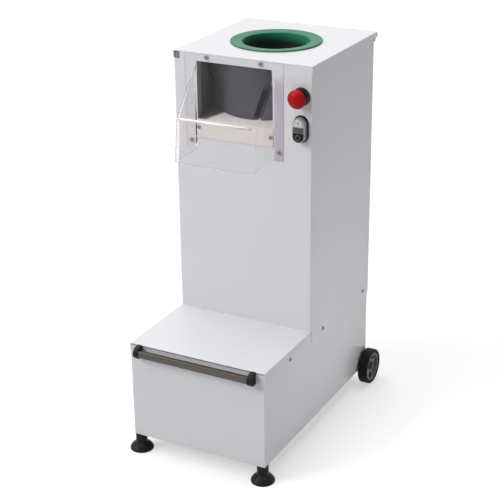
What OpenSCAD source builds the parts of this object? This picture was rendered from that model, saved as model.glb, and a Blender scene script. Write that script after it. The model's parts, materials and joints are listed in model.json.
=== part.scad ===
// Dough rounder: an upright sheet-metal cabinet on a stepped base.
// Dough drops through the funnel and the hollow auger, is rolled up inside the cylinder
// and leaves over a sloping tray under a clear hood.

/* [Cabinet] */
// Width of the cabinet across its side panels
cabinet_w = 320; // [310:1:350]
// Depth of the upright column
column_d = 318; // [310:1:350]
// Depth of the step in front of the column
step_d = 218; // [200:1:260]
// Height of the base, from its underside to the step
base_h = 222; // [215:1:260]
// Height of the column, from the step to the top of the lid
column_h = 588; // [560:1:640]
// Thickness of the painted sheet
sheet = 1.5; // [1.2:0.1:2]
// Width of the folded return flanges
flange_w = 20; // [16:1:24]
// How far the upper rear panel stands behind the side panels
rear_step = 6; // [4:0.5:8]
// How far below the step the upper rear panel ends
rear_split_drop = 34; // [30:1:40]
// Height of the side flanges of the step cover
cover_flange_h = 30; // [26:1:34]
// Thickness of the deck plate that carries the drive
deck_t = 4; // [3:0.5:6]

/* [Lid] */
// Height of the lid's side flanges
lid_flange_h = 16; // [12:1:20]
// Height of the lid's rear flange
lid_rear_flange_h = 12; // [10:0.5:13]
// How far the lid reaches behind the column
lid_rear_reach = 14; // [12:0.5:18]
// Radius of the hole that holds the funnel
lid_hole_r = 82; // [79:0.5:88]
// Radius of the hinge knuckles
knuckle_r = 4.3; // [3.8:0.1:4.8]
// Radius of the hinge pin
hinge_pin_r = 2.5; // [2:0.1:3]
// Number of knuckles along the hinge
knuckle_count = 9; // [5:2:13]

/* [Window and hood] */
// Distance from the column's left side to the window
window_left = 54; // [50:1:60]
// Distance from the window to the column's right side
window_right = 90; // [86:1:100]
// Distance from the lid's top down to the window
window_drop = 17.5; // [16:0.5:22]
// Height of the window above its sill
window_h = 126.5; // [115:0.5:135]
// Depth of the folded window jambs
jamb_d = 17; // [10:0.5:18]
// How far the hood's side walls stand beside the window
hood_side = 5.5; // [4.5:0.5:8]
// Thickness of the clear sheet
hood_t = 3; // [2:0.5:4]
// Outer radius of the hood's corners
hood_corner = 14.5; // [8:0.5:20]
// Width of the hood's side flanges
hood_flange_w = 22; // [18:1:24]
// How far the hood stands out at its bend
hood_d = 90; // [75:1:110]
// How far further out the hood's lower edge leans
hood_lean = 11; // [0:1:20]
// Distance from the lid's top down to the hood's bend
hood_bend_drop = 118; // [105:1:130]
// Distance from the lid's top down to the hood's lower edge
hood_drop = 210; // [195:1:230]
// Thickness of the discharge tray
tray_t = 2.5; // [2:0.1:4]
// Slope of the discharge tray in degrees
tray_slope = 14; // [8:1:18]
// Height of the tray's lip in front of the panel
lip_h = 38; // [30:1:44]

/* [Feed and rounding] */
// Outer radius of the funnel's rim
funnel_rim_r = 99.5; // [94:0.5:108]
// Radius of the funnel's mouth
funnel_mouth_r = 71.5; // [68:0.5:74]
// Inner radius of the funnel's spout
spout_r = 51.5; // [46:0.5:52]
// Wall of the moulded funnel
funnel_wall = 2.5; // [2:0.1:3]
// Gap between the column's sheet and the rounding cylinder
cylinder_gap = 20; // [18:0.5:26]
// Wall of the rounding cylinder
cylinder_wall = 4; // [3:0.5:6]
// Inner radius of the hollow auger
auger_bore_r = 58; // [57:0.5:64]
// Wall of the hollow auger
auger_wall = 3.5; // [3:0.5:5]
// Rise of the auger's flight in one turn
flight_pitch = 100; // [90:1:115]
// Thickness of the flight
flight_t = 5; // [4:0.5:8]
// Running gap between the flight and the cylinder
flight_gap = 2; // [1:0.5:4]

/* [Drive] */
// Radius of the drive shaft
shaft_r = 12.5; // [11:0.5:14]
// Distance from the drive shaft to the motor's axis
worm_offset = 48; // [44:1:54]
// Distance from the step level down to the motor's axis
worm_drop = 78; // [76:1:88]
// Radius over the motor's fins
motor_r = 60; // [54:1:64]
// Length of the finned motor frame
motor_l = 125; // [100:1:140]
// Length of the fan cowl
cowl_l = 46; // [40:1:56]
// Number of cooling fins
fin_count = 20; // [12:1:28]
// Number of fan blades
blade_count = 7; // [5:1:9]

/* [Controls] */
// Distance from the column's right edge to the push buttons
control_inset = 23; // [21:0.5:27]
// Distance from the lid's top down to the emergency stop
estop_drop = 65; // [55:1:75]
// Radius of the emergency stop's head
estop_r = 20; // [17:0.5:20.5]
// Travel of the emergency stop
estop_travel = 5; // [3:0.5:6]
// Distance from the lid's top down to the double push button
switch_drop = 133; // [125:1:145]
// Width of the double push button
switch_w = 27.5; // [25:0.5:30]
// Height of the double push button
switch_h = 52; // [48:0.5:56]
// Travel of the push buttons
button_travel = 3.5; // [2:0.5:4]

/* [Handle, feet and wheels] */
// Distance from the cabinet's sides to the ends of the handle bar
handle_inset = 29; // [20:1:45]
// Height of the handle bar's section
bar_h = 16; // [13:0.5:18]
// Depth of the handle bar's section
bar_d = 10; // [8:0.5:12]
// Thickness of the handle mounts
mount_t = 10; // [8:0.5:13]
// Height of the handle mounts
mount_h = 27; // [24:0.5:30]
// How far the handle stands out from the base
handle_reach = 23; // [20:0.5:27]
// Distance from the step down to the middle of the handle
handle_drop = 13; // [10:0.5:16]
// Height of the feet under the base
foot_h = 38; // [34:0.5:46]
// Radius of the foot pads
foot_r = 26; // [22:0.5:30]
// Radius of the foot stems
stem_r = 12.7; // [10:0.1:14]
// Distance from the base's faces to the foot axis
foot_inset = 10; // [9.5:0.5:14]
// Radius of the rear wheels
wheel_r = 42; // [39:0.5:46]
// Width of the rear wheels
wheel_w = 24; // [20:0.5:28]
// Radius of the wheel axle
axle_r = 6; // [5:0.5:7]
// Distance from the column's back to the axle
axle_inset = 19; // [18.5:0.5:26]

/* [Hidden] */
$fn = 72;

// Overrun of cuts past the faces they open
cut = 1;
// Clearance of screws in their holes
hole_gap = 0.2;
// Clearance of shafts, pins and plungers in their bores
running_gap = 0.05;
// Clearance between parts that slide past each other
slide_gap = 0.3;
// Clearance of pressed and seated round parts
seat_gap = 0.02;

// Screws and bolts
screw_r = 2.5;
screw_head_r = 4.5;
screw_head_h = 2.6;
screw_head_share = 0.72;
screw_l = 7;
bolt_r = 3;
bolt_head_r = 5;
bolt_head_h = 4;
socket_share = 0.8;
side_screw_drop = 19;
side_screw_step = 117;
side_screw_front = 65;
side_screw_rear = 33;
rear_screw_inset = 10;
rear_screw_rows = 4;

// Main planes
half_w = cabinet_w / 2;
inner_w = half_w - sheet;
wheel_back = wheel_r - axle_inset;
total_d = handle_reach + step_d + column_d + wheel_back;
base_front = handle_reach - total_d / 2;
column_front = base_front + step_d;
column_back = column_front + column_d;
axis_y = column_front + column_d / 2;
rear_edge = column_back - rear_step;
base_z = foot_h;
deck_z = base_z + base_h;
top_z = deck_z + column_h;
lid_under = top_z - sheet;
panel_top = lid_under - slide_gap;
rear_split_z = deck_z - rear_split_drop;

// Lid hinge
hinge_y = column_back + lid_rear_reach - sheet - knuckle_r;
hinge_z = top_z - lid_rear_flange_h - knuckle_r - slide_gap;
leaf_t = 1.2;
leaf_h = 22;
knuckle_gap = 0.3;
knuckle_pitch = 2 * inner_w / knuckle_count;
lid_side_gap = 0.5;
lid_half_w = half_w + lid_side_gap + sheet;
lid_front_over = 0.5;

// Lid catch at the front left corner
catch_w = 11;
catch_d = 18;
catch_h = 15;
catch_roller_r = 4;
catch_gap = 0.5;

// Window, sill, jambs and tray
window_w = cabinet_w - window_left - window_right;
window_x = (window_left - window_right) / 2;
hood_w = window_w + 2 * hood_side;
window_top = top_z - window_drop;
sill_z = window_top - window_h;
jamb_back = column_front + jamb_d;
tray_gap = 1;
guide_t = 2;
guide_tab = 10;
guide_start = window_w / 2 + sheet;
lip_w = hood_w - 2 * hood_t - 2 * tray_gap;
lip_screw_x = lip_w / 2 - screw_head_r - tray_gap;
lip_screw_drop = 16;

// Clear hood
hood_top = window_top + hood_t;
hood_bend_z = top_z - hood_bend_drop;
hood_bottom = top_z - hood_drop;
hood_out_w = hood_w / 2 + hood_flange_w;
hood_flats = 6;
hood_rise = hood_top - hood_bend_z;
hood_fall = hood_bend_z - hood_bottom;
slope_angle = atan2(hood_rise, hood_d);
front_angle = atan2(hood_fall, hood_lean);
slope_in = [sin(slope_angle), -cos(slope_angle)];
front_in = [sin(front_angle), -cos(front_angle)];
hood_mitre = (slope_in + front_in) / (1 + slope_in * front_in);
hood_screw_inset = 30.5;
hood_screw_x = hood_w / 2 - hood_screw_inset;
hood_screw_drop = 7.5;
hood_leg_screw_h = 20;

// Rounding cylinder
cylinder_r = min(half_w, column_d / 2) - sheet - cylinder_gap;
cylinder_in = cylinder_r - cylinder_wall;
cylinder_floor = 6;
floor_top = deck_z + cylinder_floor;
cylinder_drop = 36;
cylinder_top = top_z - cylinder_drop;
flare_h = 36;
flare_out = 7.5;
cylinder_flange = 11;
outlet_from = 25;
outlet_to = 60;
outlet_rise = 18;
outlet_sill = sill_z + outlet_rise;
cylinder_bolt_count = 6;

// Hollow auger
auger_r = auger_bore_r + auger_wall;
auger_foot_gap = 6;
auger_bottom = floor_top + auger_foot_gap;
funnel_depth = 77;
funnel_gap = 3;
auger_top = top_z - funnel_depth - funnel_gap;
hub_h = 24;
cone_h = 40;
shaft_rise = 16;
shaft_top = auger_bottom + hub_h + shaft_rise;
shaft_cover = 10;
port_h = 54;
port_angle = 75;
flight_inset = 4;
flight_bottom = auger_bottom + flight_inset;
flight_top = outlet_sill - flight_inset;
flight_r = cylinder_in - flight_gap;
flight_root = 9;
flight_rim = 3;
flight_sides = 36;

// Funnel
funnel_rim_t = 3;
funnel_lip_h = 2;
funnel_cone_h = 42;
spout_out = spout_r + funnel_wall;

// Gearbox
gearbox_r = 54;
gearbox_h = 80;
neck_r = 42;
gearbox_flange_r = 66;
gearbox_flange_t = 9;
worm_house_r = 29;
worm_house_l = 60;
bearing_r = 21;
bearing_h = 13;
seal_r = 20;
gearbox_bolt_pcr = 56;
gearbox_bolt_count = 4;
worm_z = deck_z - worm_drop;
gearbox_low = worm_z - gearbox_h / 2;
gearbox_top = worm_z + gearbox_h / 2;
deck_under = deck_z - deck_t;
shaft_foot_gap = 2;
shaft_bottom = gearbox_low + shaft_foot_gap;
key_w = 8;
key_h = 7;
key_l = 30;

// Motor
fin_h = 6;
fin_t = 2.5;
motor_flange_r = 52;
motor_flange_t = 10;
bell_l = 14;
cowl_t = 1.5;
fan_r = 50;
fan_l = 22;
fan_hub_r = 16;
blade_t = 2.5;
rotor_r = 7;
cowl_slots = 5;
slot_w = 4;
motor_y = axis_y - worm_house_l;
bell_y = motor_y - motor_flange_t - motor_l;
cowl_y = bell_y - bell_l;
terminal_w = 62;
terminal_h = 56;
terminal_d = 34;

// Electrical box and cable gland
box_w = 92;
box_d = 130;
box_h = 105;
box_wall = 2.5;
box_cover_t = 12;
box_inset = 58;
box_x = box_inset - half_w;
box_front = 66;
gland_inset = 55;
gland_x = gland_inset - half_w;
gland_h = 72;
gland_r = 8;
gland_hex_r = 12.5;
gland_hex_l = 7;
gland_dome_l = 16;
gland_inside_l = 10;
gland_bore_r = 4.5;
dome_share = 0.84;
vent_count = 6;
vent_w = 90;
vent_h = 5;
vent_pitch = 14;
vent_inset = 100;
vent_x = half_w - vent_inset;
vent_rise = 70;

// Controls
control_x = half_w - control_inset;
estop_z = top_z - estop_drop;
switch_z = top_z - switch_drop;
panel_hole_r = 11.2;
neck_out = 11;
estop_collar_h = 12;
estop_overhang = 0.5;
estop_collar_r = estop_r - estop_overhang;
estop_stem_r = 9;
estop_nose_r = 5;
estop_nose_l = 9;
estop_head_gap = 1.2;
estop_skirt = 5;
estop_head_h = 17;
estop_dome_share = 1.2;
estop_dome_r = estop_r * estop_dome_share;
nut_r = 14;
nut_h = 6;
block_w = 29;
block_h = 40;
block_d = 34;
stem_back = 6;
rim_over = 2.8;
rim_t = 3;
bezel_h = 12;
bezel_edge = 2;
bezel_rib = 1.3;
bezel_floor = 2;
start_share = 0.355;
lens_share = 0.235;
button_rise = 2;
stop_rise = 3.5;
pocket_w = switch_w - 2 * bezel_edge;
pocket_l = switch_h - 2 * bezel_edge;
pocket_h = pocket_l - 2 * bezel_rib;
start_h = pocket_h * start_share;
lens_h = pocket_h * lens_share;
stop_h = pocket_h - start_h - lens_h;
start_z = pocket_h / 2 + bezel_rib - start_h / 2;
lens_z = start_z - start_h / 2 - bezel_rib - lens_h / 2;
stop_z = lens_z - lens_h / 2 - bezel_rib - stop_h / 2;

// Handle
handle_z = deck_z - handle_drop;
bar_l = cabinet_w - 2 * handle_inset;
bar_corner = 2.5;
bar_socket = 2.5;
bar_setback = 3;
mount_x = bar_l / 2;
mount_round = mount_h / 2;
bar_y = base_front - handle_reach + bar_setback + bar_d / 2;
nose_y = base_front - handle_reach + mount_round;
handle_bolt_x = mount_x + (mount_t + bar_socket) / 2;
handle_bolt_depth = 8;

// Feet
foot_x = half_w - foot_inset;
foot_y = base_front + foot_inset;
pad_h = 4;
bell_h = 16;
stud_r = 5;
stud_l = 44;
bush_r = 8;
bush_h = 20;

// Wheels
axle_y = column_back - axle_inset;
axle_z = wheel_r;
wheel_gap = 3.2;
wheel_in = half_w + wheel_gap;
tyre_depth = 9;
tyre_round = 4;
rim_r = wheel_r - tyre_depth;
rim_wall = 4;
web_t = 7;
boss_r = 11;
boss_in = 2.6;
boss_short = 5;
spoke_count = 5;
spoke_hole_r = 6;
spoke_hole_share = 0.62;
cap_r = 8.5;
cap_t = 2.5;
bracket_t = 5;
bracket_r = 9.3;
bracket_back = 30;
bracket_h = 66;
bracket_bolt_h = 30;
notch_gap = 1;
axle_room = 34;
axle_end = wheel_in + wheel_w - boss_short + cap_t;

// Box between two corners
module span(low, high) {
    translate(low) cube(high - low);
}

// Children once as drawn and once mirrored to the other side of the cabinet
module both_sides() {
    children();
    mirror([1, 0, 0]) children();
}

// Frame on the column's front face: +Z points out of the panel, +Y points up
module on_front(x, z) {
    translate([x, column_front, z]) rotate([90, 0, 0]) children();
}

// Rectangle with round corners
module round_rect(w, h, r) {
    square([w - 2 * r, h], center = true);
    square([w, h - 2 * r], center = true);
    for (x = [-1, 1], y = [-1, 1]) {
        translate([x * (w / 2 - r), y * (h / 2 - r)]) circle(r);
    }
}

// Upright rectangle with fully round ends
module stadium(w, h) {
    square([w, h - w], center = true);
    for (s = [-1, 1]) {
        translate([0, s * (h - w) / 2]) circle(w / 2);
    }
}

// Ring between two radii
module ring(r_out, r_in, h) {
    difference() {
        cylinder(r = r_out, h = h);
        translate([0, 0, -cut]) cylinder(r = r_in, h = h + 2 * cut);
    }
}

// Pan head screw, head on +Z, seated at Z = 0
module screw(length) {
    translate([0, 0, -length]) cylinder(r = screw_r, h = length);
    cylinder(r1 = screw_head_r, r2 = screw_head_r * screw_head_share, h = screw_head_h);
}

// Socket head bolt, head on +Z, seated at Z = 0
module bolt(length) {
    translate([0, 0, -length]) cylinder(r = bolt_r, h = length);
    difference() {
        cylinder(r = bolt_head_r, h = bolt_head_h);
        translate([0, 0, bolt_head_h / 2]) cylinder(r = bolt_r * socket_share, h = bolt_head_h, $fn = 6);
    }
}

// Places of the side screws along the cabinet, as Y values
side_screw_places = [
    base_front + side_screw_step,
    column_front + side_screw_front,
    column_back - side_screw_rear
];
side_screw_z = deck_z - side_screw_drop;

// Outline of a side panel in Y and Z
module side_outline() {
    difference() {
        polygon([
            [base_front + sheet, base_z],
            [rear_edge, base_z],
            [rear_edge, panel_top],
            [column_front + sheet, panel_top],
            [column_front + sheet, deck_z - sheet],
            [base_front + sheet, deck_z - sheet]
        ]);
        translate([axle_y, axle_z]) circle(axle_r + notch_gap);
        translate([axle_y - axle_r - notch_gap, base_z - cut])
            square([2 * (axle_r + notch_gap), axle_z - base_z + cut]);
    }
}

// Right side panel; the left one mirrors it
module side_panel() {
    difference() {
        union() {
            translate([inner_w, 0, 0]) rotate([90, 0, 90]) linear_extrude(sheet) side_outline();
            span([half_w - flange_w, base_front + flange_w, base_z],
                 [inner_w, axle_y - axle_room, base_z + sheet]);
            span([half_w - flange_w, rear_edge - sheet, base_z + flange_w],
                 [inner_w, rear_edge, panel_top]);
        }
        for (y = side_screw_places) {
            translate([inner_w - cut, y, side_screw_z]) rotate([0, 90, 0])
                cylinder(r = screw_r + hole_gap, h = sheet + 2 * cut);
        }
        for (z = rear_screw_heights) {
            translate([half_w - rear_screw_inset, rear_edge + cut, z]) rotate([90, 0, 0])
                cylinder(r = screw_r + hole_gap, h = sheet + 2 * cut);
        }
        for (z = bracket_bolt_heights) {
            translate([inner_w - cut, bracket_bolt_y, z]) rotate([0, 90, 0])
                cylinder(r = bolt_r + hole_gap, h = sheet + 2 * cut);
        }
    }
}

rear_screw_low = rear_split_z + rear_screw_inset;
rear_screw_high = hinge_z - knuckle_r - leaf_h - rear_screw_inset;
rear_screw_pitch = (rear_screw_high - rear_screw_low) / (rear_screw_rows - 1);
rear_screw_heights = [for (i = [0 : rear_screw_rows - 1]) rear_screw_low + i * rear_screw_pitch];
bracket_bolt_y = axle_y - bracket_back / 2;
bracket_bolt_heights = [
    axle_z + bracket_bolt_h - bolt_head_r - bolt_r,
    axle_z + bracket_bolt_h + bolt_head_r + bolt_r
];

module left_side_panel() {
    color("whitesmoke") mirror([1, 0, 0]) side_panel();
}

module right_side_panel() {
    color("whitesmoke") side_panel();
}

// Front of the column: window with folded jambs, control holes and a corner notch for the catch
module column_front_panel() {
    front_low = deck_z - sheet;
    color("whitesmoke") difference() {
        union() {
            span([-half_w, column_front, front_low], [half_w, column_front + sheet, panel_top]);
            both_sides() span([inner_w - sheet, column_front + sheet, front_low],
                              [inner_w, column_front + flange_w, panel_top]);
            span([-inner_w + sheet, column_front + sheet, panel_top - sheet],
                 [inner_w - sheet, column_front + flange_w - sheet, panel_top]);
            for (s = [-1, 1]) {
                translate([window_x + s * (window_w / 2 + sheet / 2), 0, 0])
                    span([-sheet / 2, column_front + sheet, sill_z],
                         [sheet / 2, jamb_back, window_top]);
            }
        }
        span([window_x - window_w / 2, column_front - cut, sill_z],
             [window_x + window_w / 2, column_front + sheet + cut, window_top]);
        span([-half_w - cut, column_front - cut, panel_top - catch_h - catch_gap],
             [-inner_w + catch_w + catch_gap, column_front + flange_w + cut, panel_top + cut]);
        for (z = [estop_z, switch_z]) {
            on_front(control_x, z) translate([0, 0, -sheet - cut])
                cylinder(r = panel_hole_r, h = sheet + 2 * cut);
        }
        for (p = outlet_screw_places) {
            on_front(p[0], p[1]) translate([0, 0, -sheet - cut])
                cylinder(r = screw_r + hole_gap, h = sheet + 2 * cut);
        }
    }
}

// Screws of the hood and of the tray's lip, as X and Z on the column's front
hood_screw_places = [
    [window_x - hood_screw_x, top_z - hood_screw_drop],
    [window_x + hood_screw_x, top_z - hood_screw_drop],
    [window_x - hood_w / 2 - hood_flange_w / 2, hood_bottom + hood_leg_screw_h],
    [window_x + hood_w / 2 + hood_flange_w / 2, hood_bottom + hood_leg_screw_h]
];
lip_screw_places = [
    [window_x - lip_screw_x, sill_z - lip_screw_drop],
    [window_x + lip_screw_x, sill_z - lip_screw_drop]
];
outlet_screw_places = concat(hood_screw_places, lip_screw_places);

// Front of the base with holes for the handle
module base_front_panel() {
    color("whitesmoke") difference() {
        union() {
            span([-half_w, base_front, base_z],
                 [half_w, base_front + sheet, deck_z - sheet - slide_gap]);
            both_sides() span([inner_w - sheet, base_front + sheet, base_z + flange_w + bush_h],
                              [inner_w, base_front + flange_w, deck_z - cover_flange_h]);
            span([-inner_w, base_front + sheet, base_z],
                 [inner_w, base_front + flange_w, base_z + sheet]);
        }
        foot_holes(base_z);
        for (s = [-1, 1]) {
            translate([s * handle_bolt_x, base_front + sheet + cut, handle_z])
                rotate([90, 0, 0]) cylinder(r = bolt_r + hole_gap, h = sheet + 2 * cut);
        }
    }
}

// Holes for the foot studs through one sheet
module foot_holes(z) {
    for (s = [-1, 1]) {
        translate([s * foot_x, foot_y, z - cut])
            cylinder(r = stud_r + hole_gap, h = sheet + 2 * cut);
    }
}

// Step plate with side flanges outside the side panels and a joggled edge under the column
module base_top_cover() {
    color("white") difference() {
        union() {
            span([-half_w - sheet, base_front, deck_z - sheet],
                 [half_w + sheet, column_front, deck_z]);
            span([-inner_w, column_front - sheet, deck_z - 2 * sheet],
                 [inner_w, column_front + flange_w, deck_z - sheet]);
            both_sides() span([half_w, base_front, deck_z - cover_flange_h],
                              [half_w + sheet, column_front + rear_step, deck_z]);
        }
        both_sides() translate([half_w - cut, side_screw_places[0], side_screw_z])
            rotate([0, 90, 0]) cylinder(r = screw_r + hole_gap, h = sheet + 2 * cut);
    }
}

// Upper rear panel: a shallow pan over the rear edges of the side panels
module upper_rear_panel() {
    color("whitesmoke") difference() {
        union() {
            span([-half_w, column_back - sheet, rear_split_z], [half_w, column_back, panel_top]);
            both_sides() span([inner_w, rear_edge, rear_split_z],
                              [half_w, column_back, panel_top]);
            span([-half_w, rear_edge, rear_split_z],
                 [half_w, column_back, rear_split_z + sheet]);
        }
        for (z = rear_screw_heights) {
            both_sides() translate([half_w - rear_screw_inset, column_back + cut, z])
                rotate([90, 0, 0]) cylinder(r = screw_r + hole_gap, h = sheet + 2 * cut);
        }
    }
}

// Lower rear panel with vent slots and the hole for the cable gland
module lower_rear_panel() {
    color("whitesmoke") difference() {
        span([-inner_w, rear_edge - 2 * sheet, base_z + flange_w],
             [inner_w, rear_edge - sheet, rear_split_z + flange_w / 2]);
        translate([gland_x, rear_edge, base_z + gland_h]) rotate([90, 0, 0])
            cylinder(r = gland_r + hole_gap, h = 3 * sheet);
        for (i = [0 : vent_count - 1]) {
            translate([vent_x, rear_edge, base_z + vent_rise + i * vent_pitch])
                rotate([90, 0, 0]) linear_extrude(3 * sheet)
                round_rect(vent_w, vent_h, vent_h / 2 - hole_gap);
        }
        for (x = [-1, 1]) {
            translate([x * (half_w - rear_screw_inset), rear_edge, rear_screw_low])
                rotate([90, 0, 0]) cylinder(r = screw_r + hole_gap, h = 3 * sheet);
        }
    }
}

// Floor of the base
module bottom_pan() {
    color("gainsboro") difference() {
        union() {
            span([-inner_w, base_front + sheet, base_z + sheet],
                 [inner_w, axle_y - axle_room, base_z + 2 * sheet]);
            span([-half_w + flange_w, axle_y - axle_room - sheet, base_z + sheet],
                 [half_w - flange_w, axle_y - axle_room, base_z + flange_w]);
        }
        foot_holes(base_z + sheet);
    }
}

// Folded deck plate that carries the cylinder above and the gearbox below
module deck_plate() {
    deck_front = column_front + flange_w;
    deck_back = rear_edge - 2 * sheet;
    color("silver") difference() {
        union() {
            span([-inner_w, deck_front, deck_under], [inner_w, deck_back, deck_z]);
            both_sides() span([inner_w - deck_t, deck_front, deck_z - rear_split_drop],
                              [inner_w, deck_back, deck_z]);
        }
        translate([0, axis_y, deck_under - cut])
            cylinder(r = neck_r - bearing_h, h = deck_t + 2 * cut);
        drive_bolt_holes(deck_under - cut, deck_t + 2 * cut);
        for (y = side_screw_places) {
            both_sides() translate([inner_w - deck_t - cut, y, side_screw_z]) rotate([0, 90, 0])
                cylinder(r = screw_r + hole_gap, h = deck_t + 2 * cut);
        }
    }
}

// Places of the bolts that hold the cylinder and of those that hold the gearbox
module cylinder_bolt_places() {
    for (i = [0 : cylinder_bolt_count - 1]) {
        translate([0, axis_y, 0]) rotate([0, 0, 360 * i / cylinder_bolt_count])
            translate([cylinder_r + bolt_head_r + 2 * slide_gap, 0, 0]) children();
    }
}

module gearbox_bolt_places() {
    for (i = [0 : gearbox_bolt_count - 1]) {
        translate([0, axis_y, 0]) rotate([0, 0, 180 * (2 * i + 1) / gearbox_bolt_count])
            translate([gearbox_bolt_pcr, 0, 0]) children();
    }
}

module drive_bolt_holes(z, h) {
    cylinder_bolt_places() translate([0, 0, z]) cylinder(r = bolt_r + hole_gap, h = h, $fn = 32);
    gearbox_bolt_places() translate([0, 0, z]) cylinder(r = bolt_r + hole_gap, h = h, $fn = 32);
}

// Lid with side and rear flanges and the hole for the funnel
module top_lid() {
    lid_front = column_front - lid_front_over;
    lid_back = column_back + lid_rear_reach;
    color("white") difference() {
        union() {
            span([-lid_half_w, lid_front, lid_under], [lid_half_w, lid_back, top_z]);
            both_sides() span([lid_half_w - sheet, lid_front, top_z - lid_flange_h],
                              [lid_half_w, rear_edge, top_z]);
            both_sides() span([lid_half_w - sheet, rear_edge, top_z - lid_rear_flange_h],
                              [lid_half_w, lid_back, top_z]);
            span([-lid_half_w, lid_back - sheet, top_z - lid_rear_flange_h],
                 [lid_half_w, lid_back, top_z]);
        }
        translate([0, axis_y, lid_under - cut]) cylinder(r = lid_hole_r, h = sheet + 2 * cut);
    }
}

// Knuckles of one hinge leaf, every second place along the hinge
module knuckles(first) {
    for (i = [first : 2 : knuckle_count - 1]) {
        translate([-inner_w + i * knuckle_pitch + knuckle_gap / 2, hinge_y, hinge_z])
            rotate([0, 90, 0]) cylinder(r = knuckle_r, h = knuckle_pitch - knuckle_gap, $fn = 32);
    }
}

// Tabs that join the knuckles of one leaf to its plate
module knuckle_tabs(first, low, high) {
    for (i = [first : 2 : knuckle_count - 1]) {
        x = -inner_w + i * knuckle_pitch + knuckle_gap / 2;
        span([x, low[0], low[1]], [x + knuckle_pitch - knuckle_gap, high[0], high[1]]);
    }
}

module hinge_bore() {
    translate([-half_w, hinge_y, hinge_z]) rotate([0, 90, 0])
        cylinder(r = hinge_pin_r + running_gap, h = cabinet_w, $fn = 32);
}

module hinge_fixed_leaf() {
    tab_z = hinge_z - knuckle_r;
    color("dimgray") difference() {
        union() {
            knuckles(0);
            knuckle_tabs(0, [column_back, tab_z], [hinge_y, tab_z + leaf_t]);
            span([-inner_w, column_back, tab_z - leaf_h],
                 [inner_w, column_back + leaf_t, tab_z]);
        }
        hinge_bore();
    }
}

module hinge_moving_leaf() {
    leaf_y = hinge_y + knuckle_r;
    color("dimgray") difference() {
        union() {
            knuckles(1);
            knuckle_tabs(1, [leaf_y - leaf_t, hinge_z], [leaf_y, lid_under]);
            span([-inner_w, leaf_y - leaf_t, hinge_z + knuckle_r + knuckle_gap],
                 [inner_w, leaf_y, lid_under]);
        }
        hinge_bore();
    }
}

module hinge_pin() {
    color("gray") translate([-inner_w, hinge_y, hinge_z]) rotate([0, 90, 0])
        cylinder(r = hinge_pin_r, h = 2 * inner_w, $fn = 32);
}

// Roller catch for the lid, in the front left corner
module lid_catch() {
    color("dimgray") difference() {
        span([-inner_w, column_front, panel_top - catch_h],
             [-inner_w + catch_w, column_front + catch_d, panel_top]);
        translate([-inner_w + catch_w / 2, column_front - cut, panel_top - catch_h / 2])
            rotate([-90, 0, 0]) cylinder(r = catch_roller_r, h = catch_d / 2 + cut, $fn = 32);
    }
    color("silver")
        translate([-inner_w + catch_w / 2, column_front, panel_top - catch_h / 2])
        rotate([-90, 0, 0]) cylinder(r = catch_roller_r - running_gap, h = catch_d / 2, $fn = 32);
}

// Moulded funnel: flat dished rim, cone and straight spout
module feed_funnel() {
    cone_low = top_z - funnel_cone_h;
    spout_low = top_z - funnel_depth;
    rim_top = top_z + slide_gap + funnel_rim_t;
    color("seagreen") translate([0, axis_y, 0]) rotate_extrude($fn = 96) polygon([
        [spout_r, spout_low],
        [spout_out, spout_low],
        [spout_out, cone_low],
        [funnel_mouth_r + funnel_wall, top_z + slide_gap - funnel_wall],
        [funnel_mouth_r + 2 * funnel_wall, top_z + slide_gap],
        [funnel_rim_r - funnel_lip_h, top_z + slide_gap],
        [funnel_rim_r, top_z + slide_gap + funnel_lip_h / 2],
        [funnel_rim_r - funnel_lip_h / 2, rim_top],
        [funnel_rim_r - 2 * funnel_lip_h, rim_top],
        [funnel_mouth_r + funnel_wall, top_z + slide_gap + funnel_lip_h],
        [funnel_mouth_r, top_z],
        [spout_r, cone_low + funnel_wall]
    ]);
}

// Angle on the plan, measured from the front towards the right
function plan_angle(a) = a - 90;

// Coated cylinder with a flared mouth and an outlet at the right front
module rounding_cylinder() {
    flare_z = cylinder_top - flare_h;
    color([0.32, 0.31, 0.35]) translate([0, axis_y, 0]) difference() {
        rotate_extrude($fn = 96) polygon([
            [cylinder_r, floor_top],
            [cylinder_r, flare_z],
            [cylinder_r + flare_out, cylinder_top],
            [cylinder_r + flare_out - cylinder_wall, cylinder_top],
            [cylinder_in, flare_z],
            [cylinder_in, floor_top]
        ]);
        rotate([0, 0, plan_angle(outlet_from)]) rotate_extrude(angle = outlet_to - outlet_from)
            translate([cylinder_in - cut, outlet_sill])
            square([cylinder_wall + flare_out + 2 * cut, cylinder_top - outlet_sill + cut]);
    }
}

// Floor of the cylinder, with the flange that is bolted to the deck
module cylinder_base() {
    color([0.32, 0.31, 0.35]) difference() {
        translate([0, axis_y, deck_z]) ring(cylinder_r + cylinder_flange, seal_r, cylinder_floor);
        cylinder_bolt_places() translate([0, 0, deck_z - cut])
            cylinder(r = bolt_r + hole_gap, h = cylinder_floor + 2 * cut, $fn = 32);
    }
}

// Hollow auger: tube with a cone floor, a keyed hub and a side port at the foot
module auger_tube() {
    cone_low = auger_bottom + hub_h;
    color([0.36, 0.35, 0.39]) translate([0, axis_y, 0]) difference() {
        rotate_extrude($fn = 96) polygon([
            [shaft_r + running_gap, auger_bottom],
            [auger_r, auger_bottom],
            [auger_r, auger_top],
            [auger_bore_r, auger_top],
            [auger_bore_r, cone_low],
            [0, cone_low + cone_h],
            [0, shaft_top + running_gap],
            [shaft_r + running_gap, shaft_top + running_gap]
        ]);
        rotate([0, 0, -port_angle]) rotate_extrude(angle = port_angle)
            translate([auger_bore_r - cut, cone_low + cut])
            square([auger_wall + 2 * cut, port_h]);
        span([-key_w / 2 - seat_gap, 0, auger_bottom - cut],
             [key_w / 2 + seat_gap, shaft_r + key_h / 2 + seat_gap, shaft_top - shaft_cover]);
    }
}

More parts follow.
